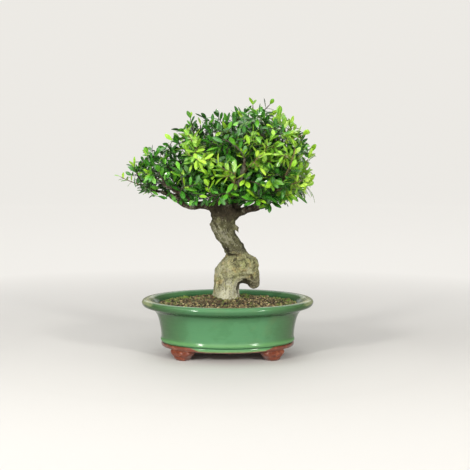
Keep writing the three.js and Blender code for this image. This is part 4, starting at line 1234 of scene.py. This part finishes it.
def buildSoil():
    # rings from the floor's middle out and up the wall, in over the top to the trunk, and down its hole
    angle = roundAngles(soil["sides"])
    cos, sin = np.cos(angle), np.sin(angle)
    floorHalf = soil["wall"][0][0]
    floor = [(share * floorHalf, soil["wall"][0][1]) for share in (0.02, 0.3, 0.6, 0.9)]
    half, level = np.vstack([floor, soil["wall"], (soilEdge[0], soil["edgeZ"])]).T[..., None]
    onFloor = np.arange(len(half))[:, None] < len(floor)
    halfY = np.where(onFloor, half * (floorHalf - inset) / floorHalf, half - inset)
    outer = xyz(half * cos, halfY * sin, level)
    t = np.linspace(0, 1, soil["rings"])[1:, None]
    middleX, middleY = soil["trunkAt"]
    x = mix(soilEdge[0] * cos, middleX + soil["brink"][0] * cos, t)
    y = mix(soilEdge[1] * sin, middleY + soil["brink"][1] * sin, t)
    top = xyz(x, y, mix(soil["edgeZ"], soilHeight(x, y), smoothStep(0, 0.08, t)))
    holeX, holeY, holeZ = np.array(soil["hole"]).T[..., None]
    hole = xyz(middleX + holeX * cos, middleY + holeY * sin, holeZ)
    points, faces, caps = closedGrid(np.concatenate([outer, top, hole]))
    material = dullMaterial("soilBed", 0.95, soilColour, (600, 4, 0.7), 0.0012)
    piece = makePiece("soil_bed", points, [faces, caps], [material], "soil")
    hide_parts("soil")


def offTrunk(x, y):
    return fromTrunk(x, y, *soil["bare"]) > 1


def spotsOnSoil(roll):
    # places spread evenly over the oval by the golden angle, shaken, and kept off the trunk
    count = soil["grains"]
    k = np.arange(count) + 0.5
    radius = np.sqrt(k / count) * 0.985 + roll.normal(0, 0.006, count)
    around = k * 2.399963 + roll.normal(0, 0.25, count)
    x, y = soilEdge[0] * radius * np.cos(around), soilEdge[1] * radius * np.sin(around)
    keep = offTrunk(x, y) & (radius < 0.99)
    return x[keep], y[keep]


def grainColour(where):
    sort, mossy, _, _ = markOf(where, "grain")
    kind = rampOf(sort, [(place, soil[key]) for place, key in soil["grainSorts"]])
    kind = strew(kind, soil["mossCrumb"], mossy, 0.50, 0.85, 0.7)
    return blend(1, kind, mottled(where, (1, 1, 1), (0.45, 0.41, 0.36), 300, 0.5, 0.9), "MULTIPLY")


def buildGrains():
    # rough stones: two rings of five points and two poles, each stone stretched and turned by its own draws
    roll = np.random.default_rng(12)
    x, y = spotsOnSoil(roll)
    count, sides = len(x), 5
    tilt = np.array([-0.5, 0.5])[:, None]
    around = roundAngles(sides)
    ball = xyz(np.cos(tilt) * np.cos(around), np.cos(tilt) * np.sin(around), np.sin(tilt)).reshape(-1, 3)
    ball = np.vstack([ball, [0, 0, -1], [0, 0, 1]])
    per = len(ball)
    size = mix(*soil["grainSize"], roll.beta(1.6, 3.2, count))[:, None, None]
    shape = ball[None] * (1 + roll.normal(0, 0.16, (count, per, 1)))
    shape = shape * roll.uniform(*soil["grainStretch"], (count, 1, 3)) * size
    spin, axis = np.split(unit(roll.normal(size=(count, 1, 4))), [1], -1)  # a random turn, as a quaternion
    turned = np.cross(axis, shape)
    shape = shape + 2 * (spin * turned + np.cross(axis, turned))
    middle = xyz(x, y, soilHeight(x, y) + size[:, 0, 0] * roll.uniform(*soil["grainSunk"], count))
    points = (shape + middle[:, None]).reshape(-1, 3)
    first = np.arange(sides)
    ends = np.vstack([fanFaces(first, per - 2, True), fanFaces(first + sides, per - 1)])
    sort = roll.random(count)
    rim = np.hypot(x / soilEdge[0], y / soilEdge[1])
    # moss tints the grains by the back rim, at the left, round the trunk and in stray patches
    mossy = 0.25 * smoothStep(0.6, 0.98, rim) * (y > -20) + 0.12 * smoothStep(-30, -80, x) \
        + 0.2 * bell(fromTrunk(x, y), 24, 8) + 0.3 * layeredNoise(xyz(x, y, 0), 16.0, 2, 6) \
        + 0.66 * roll.random(count)
    marks = np.stack([sort, np.clip(mossy, 0, 1), sort, np.ones(count)], -1).repeat(per, 0)
    makePiece("soil_grains", points, [repeated(gridFaces(2, sides), count, per), repeated(ends, count, per)],
              [dullMaterial("grit", 0.9, grainColour, (900, 3, 0.7), 0.0006, 0.9)], "soil",
              ("grain", marks), smooth=False)


buildSoil()
buildGrains()
print("soil done")

moss = {
    # x, y, radius, blades: along the back rim, round the trunk's foot, and scattered tufts
    "patches": [(-62, 46, 7, 120), (-34, 60, 9, 190), (-20, 61, 6, 120), (26, 61, 8, 150), (50, 55, 7, 120),
                (72, 42, 5, 60), (-86, 8, 4, 40), (-24, 14, 6, 150), (-20, 4, 4, 70), (17, 10, 4, 80),
                (2, 43, 7, 120), (40, -50, 4, 40), (-58, -36, 4, 40), (72, -26, 4, 40), (-30, -58, 3, 30),
                (86, 22, 5, 60), (30, 34, 5, 60), (-44, 22, 4, 40)],
    "strays": 420, "height": (1.6, 4.4), "strayHeight": (1.5, 3.2), "girth": 0.34, "rootDepth": 0.4,
    "green": (0.035, 0.110, 0.008), "tip": (0.19, 0.37, 0.035), "dry": (0.16, 0.17, 0.03),
}


def mossColour(where):
    upBlade, _, _, _ = markOf(where, "moss")
    colour = blend(upBlade, moss["green"], moss["tip"])
    return strew(colour, moss["dry"], noiseAt(where, 90, 2), 0.45, 0.65, 0.5)


def buildMoss():
    # each blade is a narrow three-sided spike, bent a little at half its height
    roll = np.random.default_rng(9)
    x, y, tall = [], [], []
    for px, py, radius, count in moss["patches"]:
        r = radius * np.sqrt(roll.random(count))
        a = roll.uniform(0, 2 * np.pi, count)
        x.append(px + r * np.cos(a))
        y.append(py + r * np.sin(a) * 0.7)
        tall.append(mix(*moss["height"], roll.random(count)) * (1.15 - 0.5 * r / radius))
    x.append(soilEdge[0] * roll.uniform(-1, 1, moss["strays"]))
    y.append(soilEdge[1] * roll.uniform(-1, 1, moss["strays"]))
    tall.append(roll.uniform(*moss["strayHeight"], moss["strays"]))
    x, y, tall = map(np.concatenate, (x, y, tall))
    inside = ((x / soilEdge[0]) ** 2 + (y / soilEdge[1]) ** 2 < 0.97) & offTrunk(x, y)
    x, y, tall = x[inside], y[inside], tall[inside, None]
    count = len(x)
    root = xyz(x, y, soilHeight(x, y) - moss["rootDepth"])
    lean = xyz(roll.normal(0, 0.35, count), roll.normal(0, 0.35, count), 1)
    bend = lean + roll.normal(0, 0.3, (count, 3)) * (1, 1, 0)
    angle = roll.uniform(0, 2 * np.pi, count)[:, None] + roundAngles(3)
    girth = moss["girth"] * xyz(np.cos(angle), np.sin(angle), 0)
    knee = lean * tall * 0.55
    tip = root + knee + bend * tall * 0.45
    points = np.concatenate([root[:, None] + girth, (root + knee)[:, None] + girth * 0.8, tip[:, None]], 1)
    sides = np.array([[0, 1, 4, 3], [1, 2, 5, 4], [2, 0, 3, 5]])
    ends = np.array([[3, 4, 6], [4, 5, 6], [5, 3, 6], [2, 1, 0]])
    upBlade = np.tile([0.0, 0, 0, 0.55, 0.55, 0.55, 1.0], count)
    makePiece("moss_tufts", points.reshape(-1, 3), [repeated(sides, count, 7), repeated(ends, count, 7)],
              [dullMaterial("mossTuft", 0.7, mossColour, (1200, 2), 0.0002, 0.5)], "soil",
              ("moss", upBlade[:, None].repeat(4, 1)))


buildMoss()
print("moss done")


netting = {"dark": (0.02, 0.022, 0.02), "worn": (0.05, 0.045, 0.035), "roughness": 0.5}


def nettingColour(where):
    return mottled(where, netting["dark"], netting["worn"], 200, 0.45, 0.5)


material = dullMaterial("drainNetting", netting["roughness"], nettingColour, (700, 2), 0.0002, 0.5)
for name in ("drain_mesh_left", "drain_mesh_right"):
    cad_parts[name].data.materials.clear()
    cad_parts[name].data.materials.append(material)


view = {"focal": 1355.5, "distance": 1919.9, "height": 377.4, "pitch": 6.08, "side": 10.6, "frameWidth": 470}
studio = {
    "floor": (0.50, 0.49, 0.47), "sky": (0.95, 0.97, 1.0), "skyStrength": 0.16, "ground": (0.83, 0.81, 0.77),
    "floorRadius": 2600, "bendRadius": 700, "wallHeight": 3200, "sides": 128,
    # place in millimetres about the pot's middle, size, strength, colour
    "lights": {
        "front": ((0, -1650, 720), 1600, 20.0, (1, 0.985, 0.96)),
        "leftFront": ((-980, -1280, 640), 210, 21.0, (1, 0.98, 0.94)),
        "rightFront": ((980, -1280, 640), 210, 20.0, (1, 0.98, 0.94)),
        "leftHigh": ((-1100, -600, 1400), 900, 8.0, (1, 1, 1)),
        "top": ((0, -100, 1700), 1200, 13.0, (1, 1, 1)),
        "behind": ((0, 1500, 1300), 1800, 13.0, (1, 0.99, 0.97)),
    },
}


def buildStudio():
    # a round floor that bends up into a wall all round, so that every view has the same pale ground
    turn = np.linspace(0, np.pi / 2, 24)
    radius, floorRadius = studio["bendRadius"], studio["floorRadius"]
    reach = np.concatenate([[1, 400, 900, 1600], floorRadius + radius * np.sin(turn), [floorRadius + radius]])
    rise = np.concatenate([[0, 0, 0, 0], radius * (1 - np.cos(turn)), [studio["wallHeight"]]])
    around = roundAngles(studio["sides"])
    rings = xyz(reach[:, None] * np.cos(around), reach[:, None] * np.sin(around), rise[:, None])
    faces = gridFaces(len(reach), studio["sides"])[:, ::-1]
    mesh = meshOf("studio_floor", rings.reshape(-1, 3), [faces])
    material, shader, where = newMaterial("paleFloor", Roughness=0.8, Emission_Strength=1.0)
    # further out, the eye sees one even ground colour, whatever light falls there
    far = addNode("VectorMath", {"Vector": where}, operation="LENGTH").outputs["Value"]
    far = times(rangeOf(far, 0.32, 0.95), addNode("LightPath", {}, where.id_data).outputs["Is Camera Ray"])
    connect(shader, Base_Color=blend(far, studio["floor"], (0, 0, 0)),
            Emission_Color=blend(far, (0, 0, 0), studio["ground"]))
    mesh.materials.append(material)
    addObject("studio_floor", mesh)

    scene = bpy.context.scene
    scene.view_settings.view_transform = "Standard"
    scene.world = bpy.data.worlds.new("studio")
    scene.world.use_nodes = True
    back = scene.world.node_tree.nodes["Background"]
    back.inputs["Color"].default_value = (*studio["sky"], 1)
    back.inputs["Strength"].default_value = studio["skyStrength"]
    for name, (place, size, power, colour) in studio["lights"].items():
        lamp = bpy.data.lights.new(name, "AREA")
        lamp.size, lamp.energy, lamp.color = size * mm, power, colour
        held = addObject(name, lamp)
        held.visible_camera = False
        held.location = (np.array(place) + potMiddle) * mm
        aim = Vector(np.array([0, 0, 150]) - np.array(place))
        held.rotation_euler = aim.to_track_quat("-Z", "Y").to_euler()

    lens = bpy.data.cameras.new("camera")
    lens.lens = view["focal"] / view["frameWidth"] * lens.sensor_width
    lens.clip_end = 50
    eye = addObject("camera", lens)
    eye.location = (np.array([view["side"], -view["distance"], view["height"]]) + potMiddle) * mm
    eye.rotation_euler = (math.radians(90 - view["pitch"]), 0, 0)
    scene.camera = eye


buildStudio()
print("studio done")
